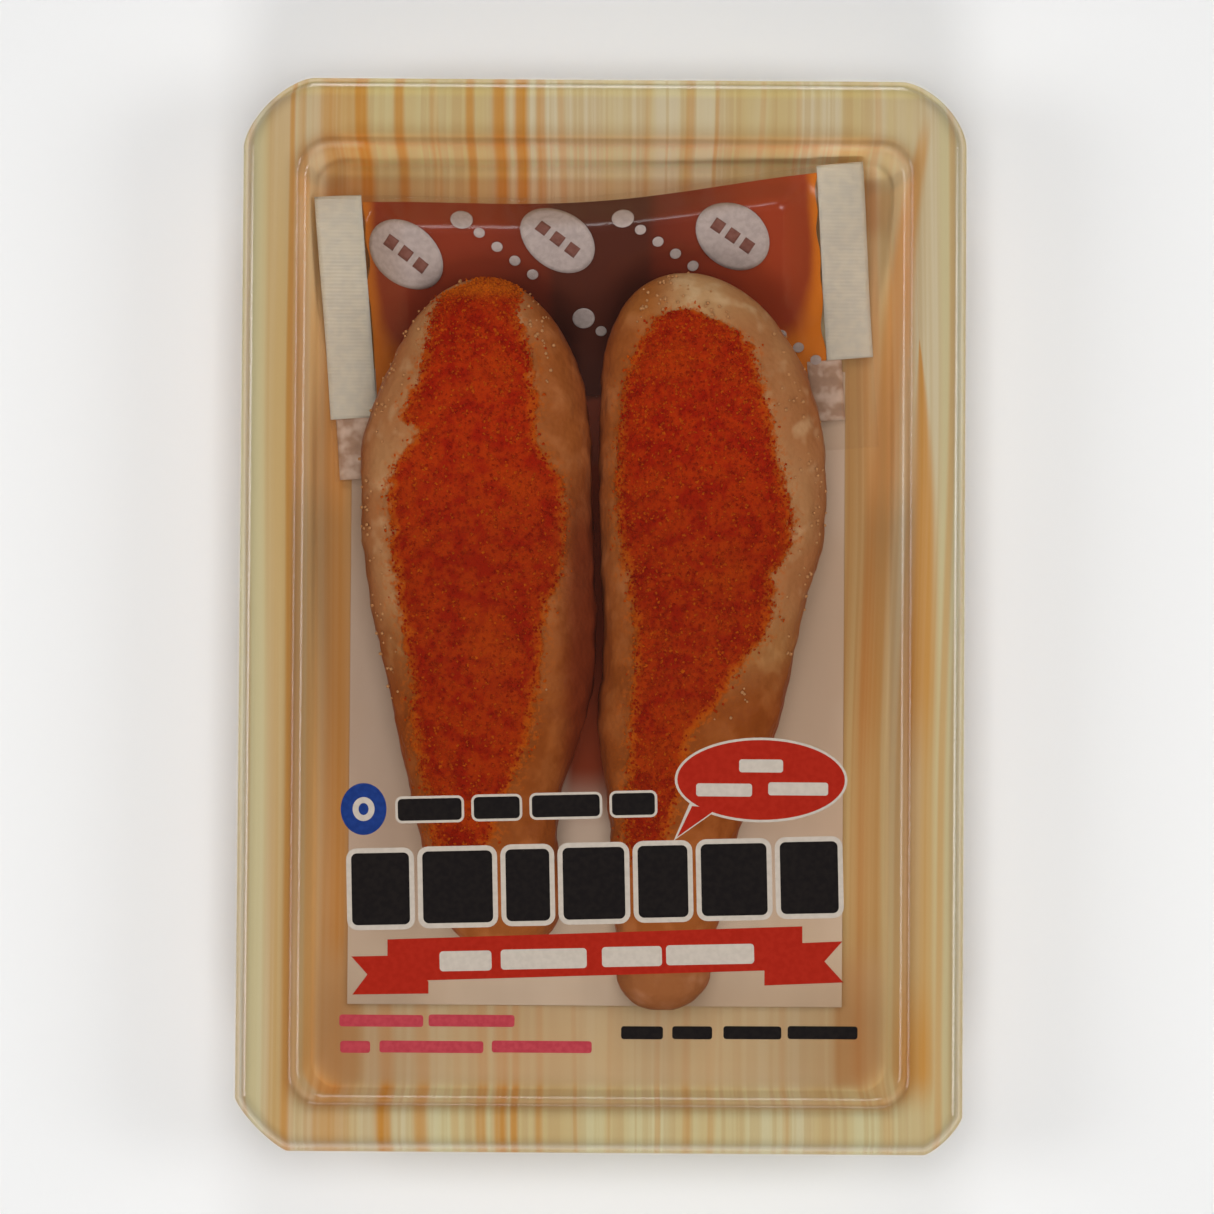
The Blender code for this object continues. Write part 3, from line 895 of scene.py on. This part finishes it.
def seen_by_camera_only(obj):
    """Lets all light pass a clear piece, so that what lies under it is lit in full."""
    obj.visible_shadow = False
    obj.visible_diffuse = False
    obj.visible_glossy = False


def make_lid(size):
    corners = (
        (SKIRT_INSETS, SKIRT_BOTTOM, 0.0),
        (RIM_INSETS, LID_TOP, 0.0013),
        (RECESS_INSETS, LID_TOP, 0.0006),
        (shifted(RECESS_INSETS, RECESS_DRAFT), PANEL_TOP, 0.0005),
        (shifted(RECESS_INSETS, 0.0040), PANEL_TOP, 0.0),
    )
    obj = lofted_shell("clear_lid", corners, size, LID_WALL, lid_material())
    seen_by_camera_only(obj)
    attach(obj, "root")
    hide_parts("lid")


# Sauce sachet


def sachet_sag(u):
    return SACHET_SAG * cos(pi * u / SACHET_LENGTH) ** 2


def sachet_underside(v):
    share = (v - SACHET_LIFT_START) / (SACHET_HEIGHT / 2 - SACHET_LIFT_START)
    return SACHET_REST + SACHET_LIFT * smoothstep(share)


def filling_behind(u, v):
    """How full of sauce the sachet is at u, v, from 0 to 1, but for its rounded far edge."""
    side = smoothstep((SACHET_LENGTH / 2 - SEAL_BAND - abs(u)) / SAUCE_SIDE_ROUND)
    near = smoothstep((v - SAUCE_NEAR_EDGE) / (SAUCE_FULL_AT - SAUCE_NEAR_EDGE))
    return side * near


def sachet_filling(u, v):
    far = smoothstep((SACHET_HEIGHT / 2 - v) / SAUCE_FAR_ROUND)
    return filling_behind(u, v) * far


def sachet_thickness(u, v):
    return SACHET_FILM + SAUCE_DEPTH * sachet_filling(u, v)


def sachet_world(u, v):
    sagged = v - sachet_sag(u) * (v / SACHET_HEIGHT + 0.5)
    x = SACHET_CENTRE[0] + u * cos(SACHET_TURN) - sagged * sin(SACHET_TURN)
    y = SACHET_CENTRE[1] + u * sin(SACHET_TURN) + sagged * cos(SACHET_TURN)
    return x, y


def sachet_local(x, y):
    """The u and v that sachet_world puts at x, y."""
    dx, dy = x - SACHET_CENTRE[0], y - SACHET_CENTRE[1]
    u = dx * cos(SACHET_TURN) + dy * sin(SACHET_TURN)
    sagged = -dx * sin(SACHET_TURN) + dy * cos(SACHET_TURN)
    sag = sachet_sag(u)
    return u, (sagged + sag / 2) / (1 - sag / SACHET_HEIGHT)


def film_crinkle(u, v):
    """Creases of the film, deepest in the empty corners and next to the seals. Never above nothing."""
    sharp = abs(noise.noise(Vector((u / CREASES_WIDE[0], v / CREASES_WIDE[1], 2.0))))
    sharp += 0.5 * abs(noise.noise(Vector((u / CREASES_FINE[0], v / CREASES_FINE[1], 9.0))))
    empty = 1.0 - sachet_filling(u, v)
    return -min(sharp, 1.0) * (CREASE_DEPTH + CREASE_DEEPER * empty)


def film_top(u, v):
    return sachet_underside(v) + sachet_thickness(u, v) + film_crinkle(u, v)


def film_point(u, v, lift=0.0):
    """A place on the film, or over it by the lift."""
    return (*sachet_world(u, v), film_top(u, v) + lift)


def grid_sheet(bm, columns, rows, point, facing_down=False):
    """A sheet over a grid. point(s, t) gives a place for s and t from 0 to 1. Returns rows of vertices."""
    grid = []
    for row in range(rows + 1):
        grid.append([bm.verts.new(point(col / columns, row / rows)) for col in range(columns + 1)])
    for before, after in zip(grid, grid[1:]):
        for col in range(columns):
            corners = (before[col], before[col + 1], after[col + 1], after[col])
            bm.faces.new(corners[::-1] if facing_down else corners)
    return grid


def grid_border(grid):
    """The vertices round a grid, one way round."""
    return grid[0][:-1] + [row[-1] for row in grid[:-1]] + grid[-1][:0:-1] + [row[0] for row in grid[:0:-1]]


def grid_solid(name, steps, point, material):
    """A closed skin over a grid of steps. point(s, t, top) gives a place for s and t from -1 to 1."""
    bm = bmesh.new()
    upper = grid_sheet(bm, *steps, lambda s, t: point(2 * s - 1, 2 * t - 1, True))
    lower = grid_sheet(bm, *steps, lambda s, t: point(2 * s - 1, 2 * t - 1, False), facing_down=True)
    join_rings(bm, grid_border(upper), grid_border(lower))
    return add_object(name, bm, material)


def make_film():
    def point(s, t, top):
        u, v = s * SACHET_LENGTH / 2, t * SACHET_HEIGHT / 2
        return film_point(u, v) if top else (*sachet_world(u, v), sachet_underside(v))

    obj = grid_solid("sachet_film", FILM_STEPS, point, film_material())
    seen_by_camera_only(obj)
    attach(obj, "root")
    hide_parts("sauce_sachet")
    return obj


def make_sauce(film):
    """The sauce between the films, with an uneven edge along the seals."""
    half_length = SACHET_LENGTH / 2 - SEAL_BAND

    def place(s, t):
        v = SAUCE_NEAR_EDGE + (t + 1) / 2 * (SACHET_HEIGHT / 2 - SAUCE_FAR_GAP - SAUCE_NEAR_EDGE)
        ragged = SAUCE_RAGGED * (1 + noise.noise(Vector((3.0 * copysign(1, s), v / SAUCE_RAGGED_SIZE, 0.0))))
        return s * (half_length - ragged), v

    def point(s, t, top):
        u, v = place(s, t)
        low = sachet_underside(v) + SAUCE_INSET
        high = film_top(u, v) - SAUCE_INSET
        return (*sachet_world(u, v), max(high, low + THINNEST_SAUCE) if top else low)

    obj = grid_solid("sauce", SAUCE_STEPS, point, sauce_material())
    places = (sachet_local(vert.co.x, vert.co.y) for vert in obj.data.vertices)
    set_attribute(obj, "depth", [filling_behind(u, v) for u, v in places])
    obj.parent = film


def on_film(name, shapes, lift, material, film):
    """Shapes that follow the film. Each is a grid of u, v points: (columns, rows, place)."""
    bm = bmesh.new()
    for columns, rows, place in shapes:
        grid_sheet(bm, columns, rows, lambda s, t: film_point(*place(s, t), lift))
    bmesh.ops.remove_doubles(bm, verts=bm.verts, dist=0.000001)
    obj = add_object(name, bm, material)
    solidify = obj.modifiers.new("ink", "SOLIDIFY")
    solidify.thickness = PRINT_BODY
    obj.parent = film
    return obj


def strip(side, start, width, low, high, steps):
    """A strip on one side of the film, from its start outwards and from low to high along v."""

    def place(s, t):
        return side * (start + width * (s if side > 0 else 1 - s)), low + t * (high - low)

    return *steps, place


def make_seal_bands(film):
    """The two opaque seal bands, from the far edge to where the sealing stops, and the flaps below them."""
    band_start = SACHET_LENGTH / 2 - SEAL_DRAWN
    bands, flaps = [], []
    for side, near, flap_start in zip((-1, 1), SEAL_NEAR_EDGES, FLAP_STARTS):
        bands.append(strip(side, band_start, SEAL_DRAWN, near, SACHET_HEIGHT / 2, BAND_STEPS))
        flaps.append(strip(side, flap_start, FLAP_WIDTH, near - FLAP_LENGTH, near, FLAP_STEPS))
    on_film("sachet_seals", bands, PRINT_LIFT, seal_material(), film)
    on_film("sachet_flaps", flaps, PRINT_LIFT, flap_material(), film)


def spun(centre, x, y, turn):
    """The u, v that lies at x, y from the centre before it is turned."""
    return centre[0] + x * cos(turn) - y * sin(turn), centre[1] + x * sin(turn) + y * cos(turn)


def disc_grid(centre, radii, turn):
    """A disc as a grid from its middle to its rim."""

    def place(s, t):
        angle = 2 * pi * s
        return spun(centre, t * radii[0] * cos(angle), t * radii[1] * sin(angle), turn)

    return *DISC_STEPS, place


def square_grid(centre, size, turn):
    return *SQUARE_STEPS, lambda s, t: spun(centre, (s - 0.5) * size, (t - 0.5) * size, turn)


def make_sachet_print(film):
    """A plain print of pale ovals with brown marks, and of dots in slanting rows."""
    pale = ink_material("sachet_print", (0.36, 0.29, 0.265), (0.43, 0.345, 0.315))
    brown = ink_material("sachet_marks", (0.16, 0.06, 0.045), (0.20, 0.085, 0.065))
    shapes = [disc_grid(centre, OVAL_RADII, OVAL_TURN) for centre in OVAL_CENTRES]
    for u, v in DOT_ROWS:
        for step, radius in enumerate(DOT_RADII):
            centre = (u + DOT_STEP[0] * step, v + DOT_STEP[1] * step)
            shapes.append(disc_grid(centre, (radius, radius * 0.9), 0.0))
    on_film("sachet_ovals", shapes, PRINT_LIFT, pale, film)
    marks = []
    for oval in OVAL_CENTRES:
        for step in (-1, 0, 1):
            marks.append(square_grid(spun(oval, MARK_STEP * step, 0.0, OVAL_TURN), MARK_SIZE, OVAL_TURN))
    on_film("sachet_marks", marks, MARK_LIFT, brown, film)


# Roe sacs


def station_value(stations, column, y):
    """One column of a table of stations at y, on a smooth curve through its rows."""
    places = [row[0] for row in stations]
    values = [row[column] for row in stations]
    last = len(places) - 1
    index = min(max(bisect.bisect_right(places, y) - 1, 0), last - 1)

    def slope(at):
        low, high = max(at - 1, 0), min(at + 1, last)
        return (values[high] - values[low]) / (places[high] - places[low])

    span = places[index + 1] - places[index]
    t = clamp((y - places[index]) / span)
    start = (1 + 2 * t) * (1 - t) ** 2 * values[index] + t * (1 - t) ** 2 * span * slope(index)
    end = t * t * (3 - 2 * t) * values[index + 1] + t * t * (t - 1) * span * slope(index + 1)
    return start + end


def end_rounding(y, near_end, far_end, near_cap, far_cap):
    share = 1.0
    for distance, cap in ((y - near_end, near_cap), (far_end - y, far_cap)):
        if distance < cap:
            share *= sqrt(max(0.0, 1.0 - (1.0 - max(distance, 0.0) / cap) ** 2))
    return share


def ring_place(share):
    return share - ROE_END_CROWDING * sin(2 * pi * share) / (2 * pi)


def relief(point):
    lumps = noise.noise(point / LUMP_SIZE)
    grains = noise.noise(point / GRAIN_SIZE + Vector((7.0, 3.0, 5.0)))
    return LUMP_HEIGHT * lumps + GRAIN_HEIGHT * grains


def clear_of_sachet(x, y, z):
    """Lifts a point of a sac off the part of the sachet that the sac lies on."""
    u, v = sachet_local(x, y)
    beyond = max(abs(u) - SACHET_LENGTH / 2, abs(v) - SACHET_HEIGHT / 2)
    if beyond > ROE_SACHET_MARGIN:
        return z
    u = clamp(u, -SACHET_LENGTH / 2, SACHET_LENGTH / 2)
    v = clamp(v, -SACHET_HEIGHT / 2, SACHET_HEIGHT / 2)
    return max(z, sachet_underside(v) + sachet_thickness(u, v) + ROE_SACHET_GAP)


def zone_rows(pixel_rows):
    """The rows of a chili zone as (y, first x, last x) on the pack, from the near end to the far end."""
    rows = []
    for py, first, last in pixel_rows:
        first_x, y = photo_point(first, py, CHILI_HEIGHT)
        last_x, _ = photo_point(last, py, CHILI_HEIGHT)
        rows.append((y, first_x, last_x))
    return sorted(rows)


def zone_edge(zone, x, y):
    """How far x, y lies inside a chili zone, below nothing outside it."""
    if y <= zone[0][0] or y >= zone[-1][0]:
        row = zone[0] if y <= zone[0][0] else zone[-1]
        across = max(row[1] - x, x - row[2], 0.0)
        return -hypot(across, y - row[0])
    index = bisect.bisect_right([row[0] for row in zone], y) - 1
    low, high = zone[index], zone[index + 1]
    t = (y - low[0]) / (high[0] - low[0])
    first = low[1] + (high[1] - low[1]) * t
    last = low[2] + (high[2] - low[2]) * t
    ends = min(y - zone[0][0], zone[-1][0] - y)
    return min(x - first, last - x, ends + CHILI_ENDS)


def sac_point(stations, caps, zone, y, angle):
    """A point of a sac with its fine relief, and how far it lies inside the chili zone."""
    near_end, far_end = stations[0][0], stations[-1][0]
    cap = end_rounding(y, near_end, far_end, *caps)
    width = station_value(stations, 2, y)
    height = ROE_HALF_HEIGHT * (width / ROE_WIDEST) ** ROE_THIN_POWER
    lift = ROE_LIFT * smoothstep((y - ROE_LIFT_START) / (far_end - ROE_LIFT_START))
    across = signed_power(cos(angle), ROE_SIDE_POWER)
    up = signed_power(sin(angle), ROE_TOP_POWER if sin(angle) > 0 else ROE_UNDER_POWER)
    point = Vector((across * width * cap, 0.0, up * height * cap ** ROE_END_POWER))
    seed = Vector((point.x + stations[0][1], y, point.z))
    centre = station_value(stations, 1, y)
    edge = zone_edge(zone, centre + point.x, y) if sin(angle) > 0 else NO_CHILI
    ragged = edge + CRUST_RAGGED * noise.noise(seed / CRUST_RAGGED_SIZE)
    crust = smoothstep(ragged / CRUST_STEP + 0.5)
    eggs = EGG_HEIGHT * noise.noise(seed / EGG_SIZE)
    crumb = noise.noise(seed / CRUST_SIZE + Vector((1.0, 8.0, 4.0)))
    crumbs = CRUST_HEIGHT * (CRUST_LEVEL[0] + CRUST_LEVEL[1] * crumb)
    pushed = (relief(seed) + eggs * (1 - crust) + crumbs * crust) * cap
    if point.length > 0.0:
        point += point.normalized() * pushed
    x = centre + point.x
    z = max(ROE_REST, ROE_REST + height * ROE_CENTRE_SHARE + lift + point.z)
    # The last value is the share of painted shade on the lower side.
    return (x, y, clear_of_sachet(x, y, z)), edge, clamp(LOW_SHADE_FROM - LOW_SHADE_FADE * sin(angle))


def make_sac(name, node, stations, caps, pixel_rows, skin):
    """A sac as rings from its far end to its near end.

    Returns its object, and how far inside the chili zone each of its vertices lies.
    """
    zone = zone_rows(pixel_rows)
    material = roe_material(skin)
    near_end, far_end = stations[0][0], stations[-1][0]
    bm = bmesh.new()
    edges, low_shades, rings = [], [], []
    for ring in range(1, ROE_RINGS):
        y = far_end - (far_end - near_end) * ring_place(ring / ROE_RINGS)
        verts = []
        for segment in range(ROE_SEGMENTS):
            place, edge, low = sac_point(stations, caps, zone, y, 2 * pi * segment / ROE_SEGMENTS)
            verts.append(bm.verts.new(place))
            edges.append(edge)
            low_shades.append(low)
        rings.append(verts)
    poles = []
    for verts in (rings[0], rings[-1]):
        poles.append(bm.verts.new(sum((vert.co for vert in verts), Vector()) / len(verts)))
        edges.append(NO_CHILI)
        low_shades.append(0.5)
    for far, near in zip(rings, rings[1:]):
        join_rings(bm, far, near)
    for (far, next_far), (near, next_near) in zip(around(rings[0]), around(rings[-1])):
        bm.faces.new((poles[0], far, next_far))
        bm.faces.new((poles[1], next_near, near))
    bmesh.ops.recalc_face_normals(bm, faces=bm.faces)
    obj = add_object(name, bm, material)
    set_attribute(obj, "edge", edges)
    set_attribute(obj, "low", low_shades)
    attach(obj, "root")
    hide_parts(node)
    return obj, edges


def add_flake(bm, place, normal, size, draw):
    """A flat irregular crumb: a ring of four points between an upper and a lower tip."""
    turn = normal.to_track_quat("Z", "Y").to_matrix() @ Matrix.Rotation(draw.uniform(0, 2 * pi), 3, "Z")
    turn = turn @ Matrix.Rotation(draw.gauss(0, FLAKE_LEAN), 3, "X")
    ring = []
    for corner in range(4):
        angle = pi / 2 * (corner + draw.uniform(-0.3, 0.3))
        reach = size * draw.uniform(*FLAKE_RING)
        ring.append(bm.verts.new(place + turn @ Vector((reach * cos(angle), reach * sin(angle), 0.0))))
    top = bm.verts.new(place + turn @ Vector((0.0, 0.0, size * draw.uniform(*FLAKE_TOP))))
    low = bm.verts.new(place + turn @ Vector((0.0, 0.0, -size * FLAKE_LOW)))
    for corner, after in around(ring):
        bm.faces.new((corner, after, top))
        bm.faces.new((after, corner, low))
    return 6


def scatter(sacs, count, chance, add, draw):
    """Puts count pieces on each sac, at random vertices that chance accepts. Returns mesh and tones."""
    bm = bmesh.new()
    tones = []
    for sac, edges in sacs:
        vertices = sac.data.vertices
        placed = 0
        while placed < count:
            index = draw.randrange(len(edges))
            vertex = vertices[index]
            if vertex.normal.z < STEEPEST or draw.random() > chance(edges[index], vertex):
                continue
            shift = [draw.uniform(-SCATTER_SHIFT, SCATTER_SHIFT) for _ in "xy"]
            tone = draw.random()
            if edges[index] < STRAY_EDGE:
                tone = 1.0 - STRAY_PALER * tone
            made = add(bm, vertex.co + Vector((*shift, 0.0)), vertex.normal)
            tones.extend([tone] * made)
            placed += 1
    return bm, tones


def flake_chance(edge, vertex):
    if edge > 0:
        return 1.0
    stray = noise.noise(vertex.co / STRAY_PATCHES) * 0.5 + 0.6
    return stray * STRAY_CHANCE * max(0.0, 1.0 + edge / STRAY_REACH) ** 2


def make_flakes(sacs):
    draw = random.Random(11)

    def add(bm, place, normal):
        size = draw.uniform(*FLAKE_SIZE)
        return add_flake(bm, place + normal * FLAKE_LIFT, normal, size, draw)

    bm, tones = scatter(sacs, FLAKES_PER_SAC, flake_chance, add, draw)
    obj = add_object("chili_flakes", bm, flake_material(), smooth=False)
    set_attribute(obj, "tone", tones)
    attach(obj, "root")


def bead_chance(edge, vertex):
    if edge > BEADS_INSIDE or abs(vertex.co.x - CLEFT_X) < BEAD_CLEFT_GAP or vertex.co.y < BEADS_NEAREST:
        return 0.0
    rim = exp(-((edge - BEADS_RIM) / BEADS_SPREAD) ** 2)
    return rim * max(0.0, noise.noise(vertex.co / BEAD_CLUSTERS) + 0.35)


def make_beads(sacs):
    """Loose eggs that stick to the membrane."""
    draw = random.Random(23)

    def add(bm, place, normal):
        size = draw.uniform(*BEAD_SIZE)
        matrix = Matrix.Translation(place + normal * size * BEAD_LIFT)
        made = bmesh.ops.create_icosphere(bm, subdivisions=1, radius=size, matrix=matrix)
        return len(made["verts"])

    bm, tones = scatter(sacs, BEADS_PER_SAC, bead_chance, add, draw)
    obj = add_object("roe_beads", bm, bead_material())
    obj.data.shade_smooth()
    set_attribute(obj, "tone", tones)
    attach(obj, "root")


# Print on the lid, placed by pixels of the photograph

INK_LEVEL = PANEL_TOP + 0.00002
INK_STEP = 0.00003
PRINT_TURN = radians(1.5)
OUTLINE = 0.0007
BOX_CORNER_STEPS = 5
ELLIPSE_STEPS = 64
INKS = {
    "black": ((0.010, 0.008, 0.008), (0.014, 0.011, 0.010)),
    "white": ((0.50, 0.43, 0.36), (0.55, 0.475, 0.40)),
    "red": ((0.34, 0.0145, 0.0055), (0.38, 0.0185, 0.0080)),
    "blue": ((0.010, 0.032, 0.16), (0.014, 0.042, 0.20)),
    "crimson": ((0.40, 0.040, 0.055), (0.46, 0.055, 0.070)),
}

# The blocks of the large line: their widths from left to right, where they start, and the gap between them.
# Then the bars over them, from left to right. Both turn about the middle of the blocks.
BLOCK_WIDTHS_PX = (58, 70, 44, 62, 50, 66, 58)
BLOCK_LEFT_PX, BLOCK_GAP_PX, BLOCK_HEIGHT_PX = 350, 13, 72
BLOCKS_MIDDLE_PX = (595, 883)
NAME_BARS_PX = ((398, 462), (474, 520), (532, 600), (612, 655))
NAME_ROW_PX, NAME_HEIGHT_PX = 805, 22

# Small bars: (middle, row, width)
RIBBON_BARS_PX = ((462, 957, 52), (540, 957, 86), (628, 957, 60), (706, 957, 88))
BUBBLE_BARS_PX = ((759, 766, 44), (722, 790, 56), (796, 789, 60))
RED_BARS_PX = ((380, 1020, 84), (470, 1020, 86), (354, 1046, 30), (430, 1046, 104), (540, 1046, 100))
DARK_BARS_PX = ((640, 1032, 42), (690, 1032, 40), (750, 1032, 58), (820, 1032, 70))

# Ribbon with its two tails, bubble with its tail, and disc: outlines, or middles with radii
RIBBON_PX = ((386, 939), (800, 926), (800, 969), (386, 981))
TAILS_PX = (
    ((350, 956), (400, 955), (427, 981), (427, 993), (351, 994), (366, 974)),
    ((840, 941), (790, 943), (762, 968), (762, 985), (841, 982), (822, 961)),
)
BUBBLE_PX = (759, 780, 84, 40)
BUBBLE_TAIL_PX = ((716, 808), (675, 837), (690, 806))
DISC_PX = (362, 809)


def panel_points(pixels):
    return [Vector(photo_point(px, py, PANEL_TOP)) for px, py in pixels]


def turned(points):
    """Points turned as the large line of the print is."""
    (middle,) = panel_points([BLOCKS_MIDDLE_PX])
    rotation = Matrix.Rotation(PRINT_TURN, 2)
    return [middle + rotation @ (Vector(point) - middle) for point in points]


def rounded_box(px, py, width_px, height_px, radius, grow=0.0):
    """Outline of a rounded rectangle, grown by the same amount all round."""
    (centre,) = panel_points([(px, py)])
    half_x, half_y = (side / PX_PER_M / 2 + grow for side in (width_px, height_px))
    radius = min(radius + grow, half_x, half_y)
    points = []
    for quarter, (sx, sy) in enumerate(((1, 1), (-1, 1), (-1, -1), (1, -1))):
        corner = (centre[0] + sx * (half_x - radius), centre[1] + sy * (half_y - radius))
        for step in range(BOX_CORNER_STEPS + 1):
            angle = pi / 2 * (quarter + step / BOX_CORNER_STEPS)
            points.append((corner[0] + radius * cos(angle), corner[1] + radius * sin(angle)))
    return points


def ellipse(px, py, radius_x_px, radius_y_px, grow=0.0):
    (centre,) = panel_points([(px, py)])
    across, along = (radius / PX_PER_M + grow for radius in (radius_x_px, radius_y_px))
    angles = (2 * pi * step / ELLIPSE_STEPS for step in range(ELLIPSE_STEPS))
    return [(centre[0] + across * cos(angle), centre[1] + along * sin(angle)) for angle in angles]


def bars(rows, height_px, radius):
    return [rounded_box(px, py, width, height_px, radius) for px, py, width in rows]


def grown(points, amount):
    centre = sum(points, Vector((0.0, 0.0))) / len(points)
    return [point + (point - centre).normalized() * amount for point in points]


def print_layer(name, outlines, level, material):
    """Flat fields of ink, each with a thin body."""
    bm = bmesh.new()
    for outline in outlines:
        face = bm.faces.new([bm.verts.new((point[0], point[1], level + INK_STEP)) for point in outline])
        if face.normal.z < 0:
            face.normal_flip()
    bmesh.ops.recalc_face_normals(bm, faces=bm.faces)
    extruded = bmesh.ops.extrude_face_region(bm, geom=list(bm.faces), use_keep_orig=True)
    for item in extruded["geom"]:
        if isinstance(item, bmesh.types.BMVert):
            item.co.z = level
    bmesh.ops.recalc_face_normals(bm, faces=bm.faces)
    obj = add_object(name, bm, material, smooth=False)
    seen_by_camera_only(obj)
    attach(obj, "root")


def make_print():
    inks = {name: ink_material("ink_" + name, *colours) for name, colours in INKS.items()}
    boxes = []
    left = BLOCK_LEFT_PX
    for width in BLOCK_WIDTHS_PX:
        boxes.append((left + width / 2, BLOCKS_MIDDLE_PX[1], width, BLOCK_HEIGHT_PX, 0.0008, OUTLINE))
        left += width + BLOCK_GAP_PX
    for first, last in NAME_BARS_PX:
        boxes.append(((first + last) / 2, NAME_ROW_PX, last - first, NAME_HEIGHT_PX, 0.0006, OUTLINE / 2))
    bubble_tail = panel_points(BUBBLE_TAIL_PX)
    ribbon_bars = [turned(bar) for bar in bars(RIBBON_BARS_PX, 20, 0.0005)]
    layers = (
        ("print_bubble_edge_1", [ellipse(*BUBBLE_PX, OUTLINE / 2)], 0.0, "white"),
        ("print_bubble_edge_2", [grown(bubble_tail, OUTLINE)], 0.1, "white"),
        ("print_outlines", [turned(rounded_box(*box)) for box in boxes], 0.0, "white"),
        ("print_blocks", [turned(rounded_box(*box[:-1])) for box in boxes], 1.0, "black"),
        ("print_small_dark", bars(DARK_BARS_PX, 13, 0.0004), 0.0, "black"),
        ("print_disc", [ellipse(*DISC_PX, 23, 26)], 0.0, "blue"),
        ("print_disc_ring", [ellipse(*DISC_PX, 11, 12)], 1.0, "white"),
        ("print_disc_dot", [ellipse(*DISC_PX, 5, 6)], 2.0, "blue"),
        ("print_ribbon_tails", [panel_points(tail) for tail in TAILS_PX], 0.0, "red"),
        ("print_ribbon", [panel_points(RIBBON_PX)], 0.5, "red"),
        ("print_bubble", [ellipse(*BUBBLE_PX)], 1.2, "red"),
        ("print_bubble_tail", [bubble_tail], 1.3, "red"),
        ("print_white_words", ribbon_bars + bars(BUBBLE_BARS_PX, 13, 0.0004), 2.5, "white"),
        ("print_small_red", bars(RED_BARS_PX, 12, 0.0004), 0.0, "crimson"),
    )
    for name, outlines, steps, ink in layers:
        print_layer(name, outlines, INK_LEVEL + INK_STEP * steps, inks[ink])


# Stage

# Soft lights: name, place, size, power, and whether gloss mirrors it. The one overhead isn't mirrored, as the
# flat lid would show it to the camera. The low ones light the walls of the tray.
LIGHTS = (
    ("overhead", (0.0, 0.02, 0.98), (0.5, 0.5), 2.9, False),
    ("far", (0.0, 0.75, 0.75), (0.4, 0.4), 2.1, True),
    ("left", (-0.75, 0.0, 0.75), (0.4, 0.4), 2.4, True),
    ("right", (0.75, 0.0, 0.75), (0.4, 0.4), 2.4, True),
    ("near", (0.0, -0.75, 0.75), (0.4, 0.4), 3.7, False),
)


def make_floor():
    bm = bmesh.new()
    bmesh.ops.create_grid(bm, x_segments=1, y_segments=1, size=3.0)
    floor = add_object("floor", bm, floor_material(), smooth=False)


def add_light(name, place, size, power, mirrored):
    """A soft rectangular light that faces the pack."""
    light = bpy.data.lights.new(name, "AREA")
    light.shape = "RECTANGLE"
    light.size, light.size_y = size
    light.energy = power
    obj = bpy.data.objects.new(name, light)
    obj.location = place
    obj.rotation_euler = (-Vector(place)).to_track_quat("-Z", "Y").to_euler()
    obj.visible_glossy = mirrored
    bpy.context.scene.collection.objects.link(obj)


def make_world():
    """Pale to the camera, and dim to everything else, so that the flat lid mirrors no grey sky."""
    world = bpy.data.worlds.new("studio")
    world.use_nodes = True
    tree = world.node_tree
    tree.nodes.clear()
    pale = put(tree, "Background", {"Color": (0.93, 0.93, 0.92, 1.0), "Strength": 1.0})
    dim = put(tree, "Background", {"Color": (0.93, 0.95, 1.0, 1.0), "Strength": 0.035})
    seen = put(tree, "LightPath").outputs["Is Camera Ray"]
    both = put(tree, "MixShader", {0: seen, 1: dim.outputs[0], 2: pale.outputs[0]})
    put(tree, "OutputWorld", {"Surface": both.outputs[0]})
    bpy.context.scene.world = world


def make_camera():
    data = bpy.data.cameras.new("camera")
    data.sensor_width = SENSOR
    data.lens = SENSOR * CAMERA_HEIGHT / (PHOTO_SIDE / PX_PER_M)
    half = PHOTO_SIDE / 2
    aim = Vector(((half - PHOTO_CENTRE[0]) / PX_PER_M, (PHOTO_CENTRE[1] - half) / PX_PER_M, LID_TOP))
    camera = bpy.data.objects.new("camera", data)
    camera.location = aim + Vector((0.0, -sin(CAMERA_TILT), cos(CAMERA_TILT))) * CAMERA_HEIGHT
    camera.rotation_euler = (CAMERA_TILT, 0.0, CAMERA_ROLL)
    bpy.context.scene.collection.objects.link(camera)
    bpy.context.scene.camera = camera


def main():
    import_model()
    lid_low, lid_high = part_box("lid")
    size = (lid_high.x - lid_low.x, lid_high.y - lid_low.y)
    make_camera()
    make_world()
    for light in LIGHTS:
        add_light(*light)
    scene = bpy.context.scene
    scene.view_settings.view_transform = "Standard"
    scene.cycles.max_bounces = 4
    scene.cycles.diffuse_bounces = 2
    scene.cycles.glossy_bounces = 2
    scene.cycles.transparent_max_bounces = 16
    make_floor()

    make_tray(size)
    make_lid(size)
    make_liner()
    film = make_film()
    make_sauce(film)
    make_seal_bands(film)
    make_sachet_print(film)
    sacs = [make_sac(*sac) for sac in SACS]
    make_flakes(sacs)
    make_beads(sacs)
    make_print()


main()
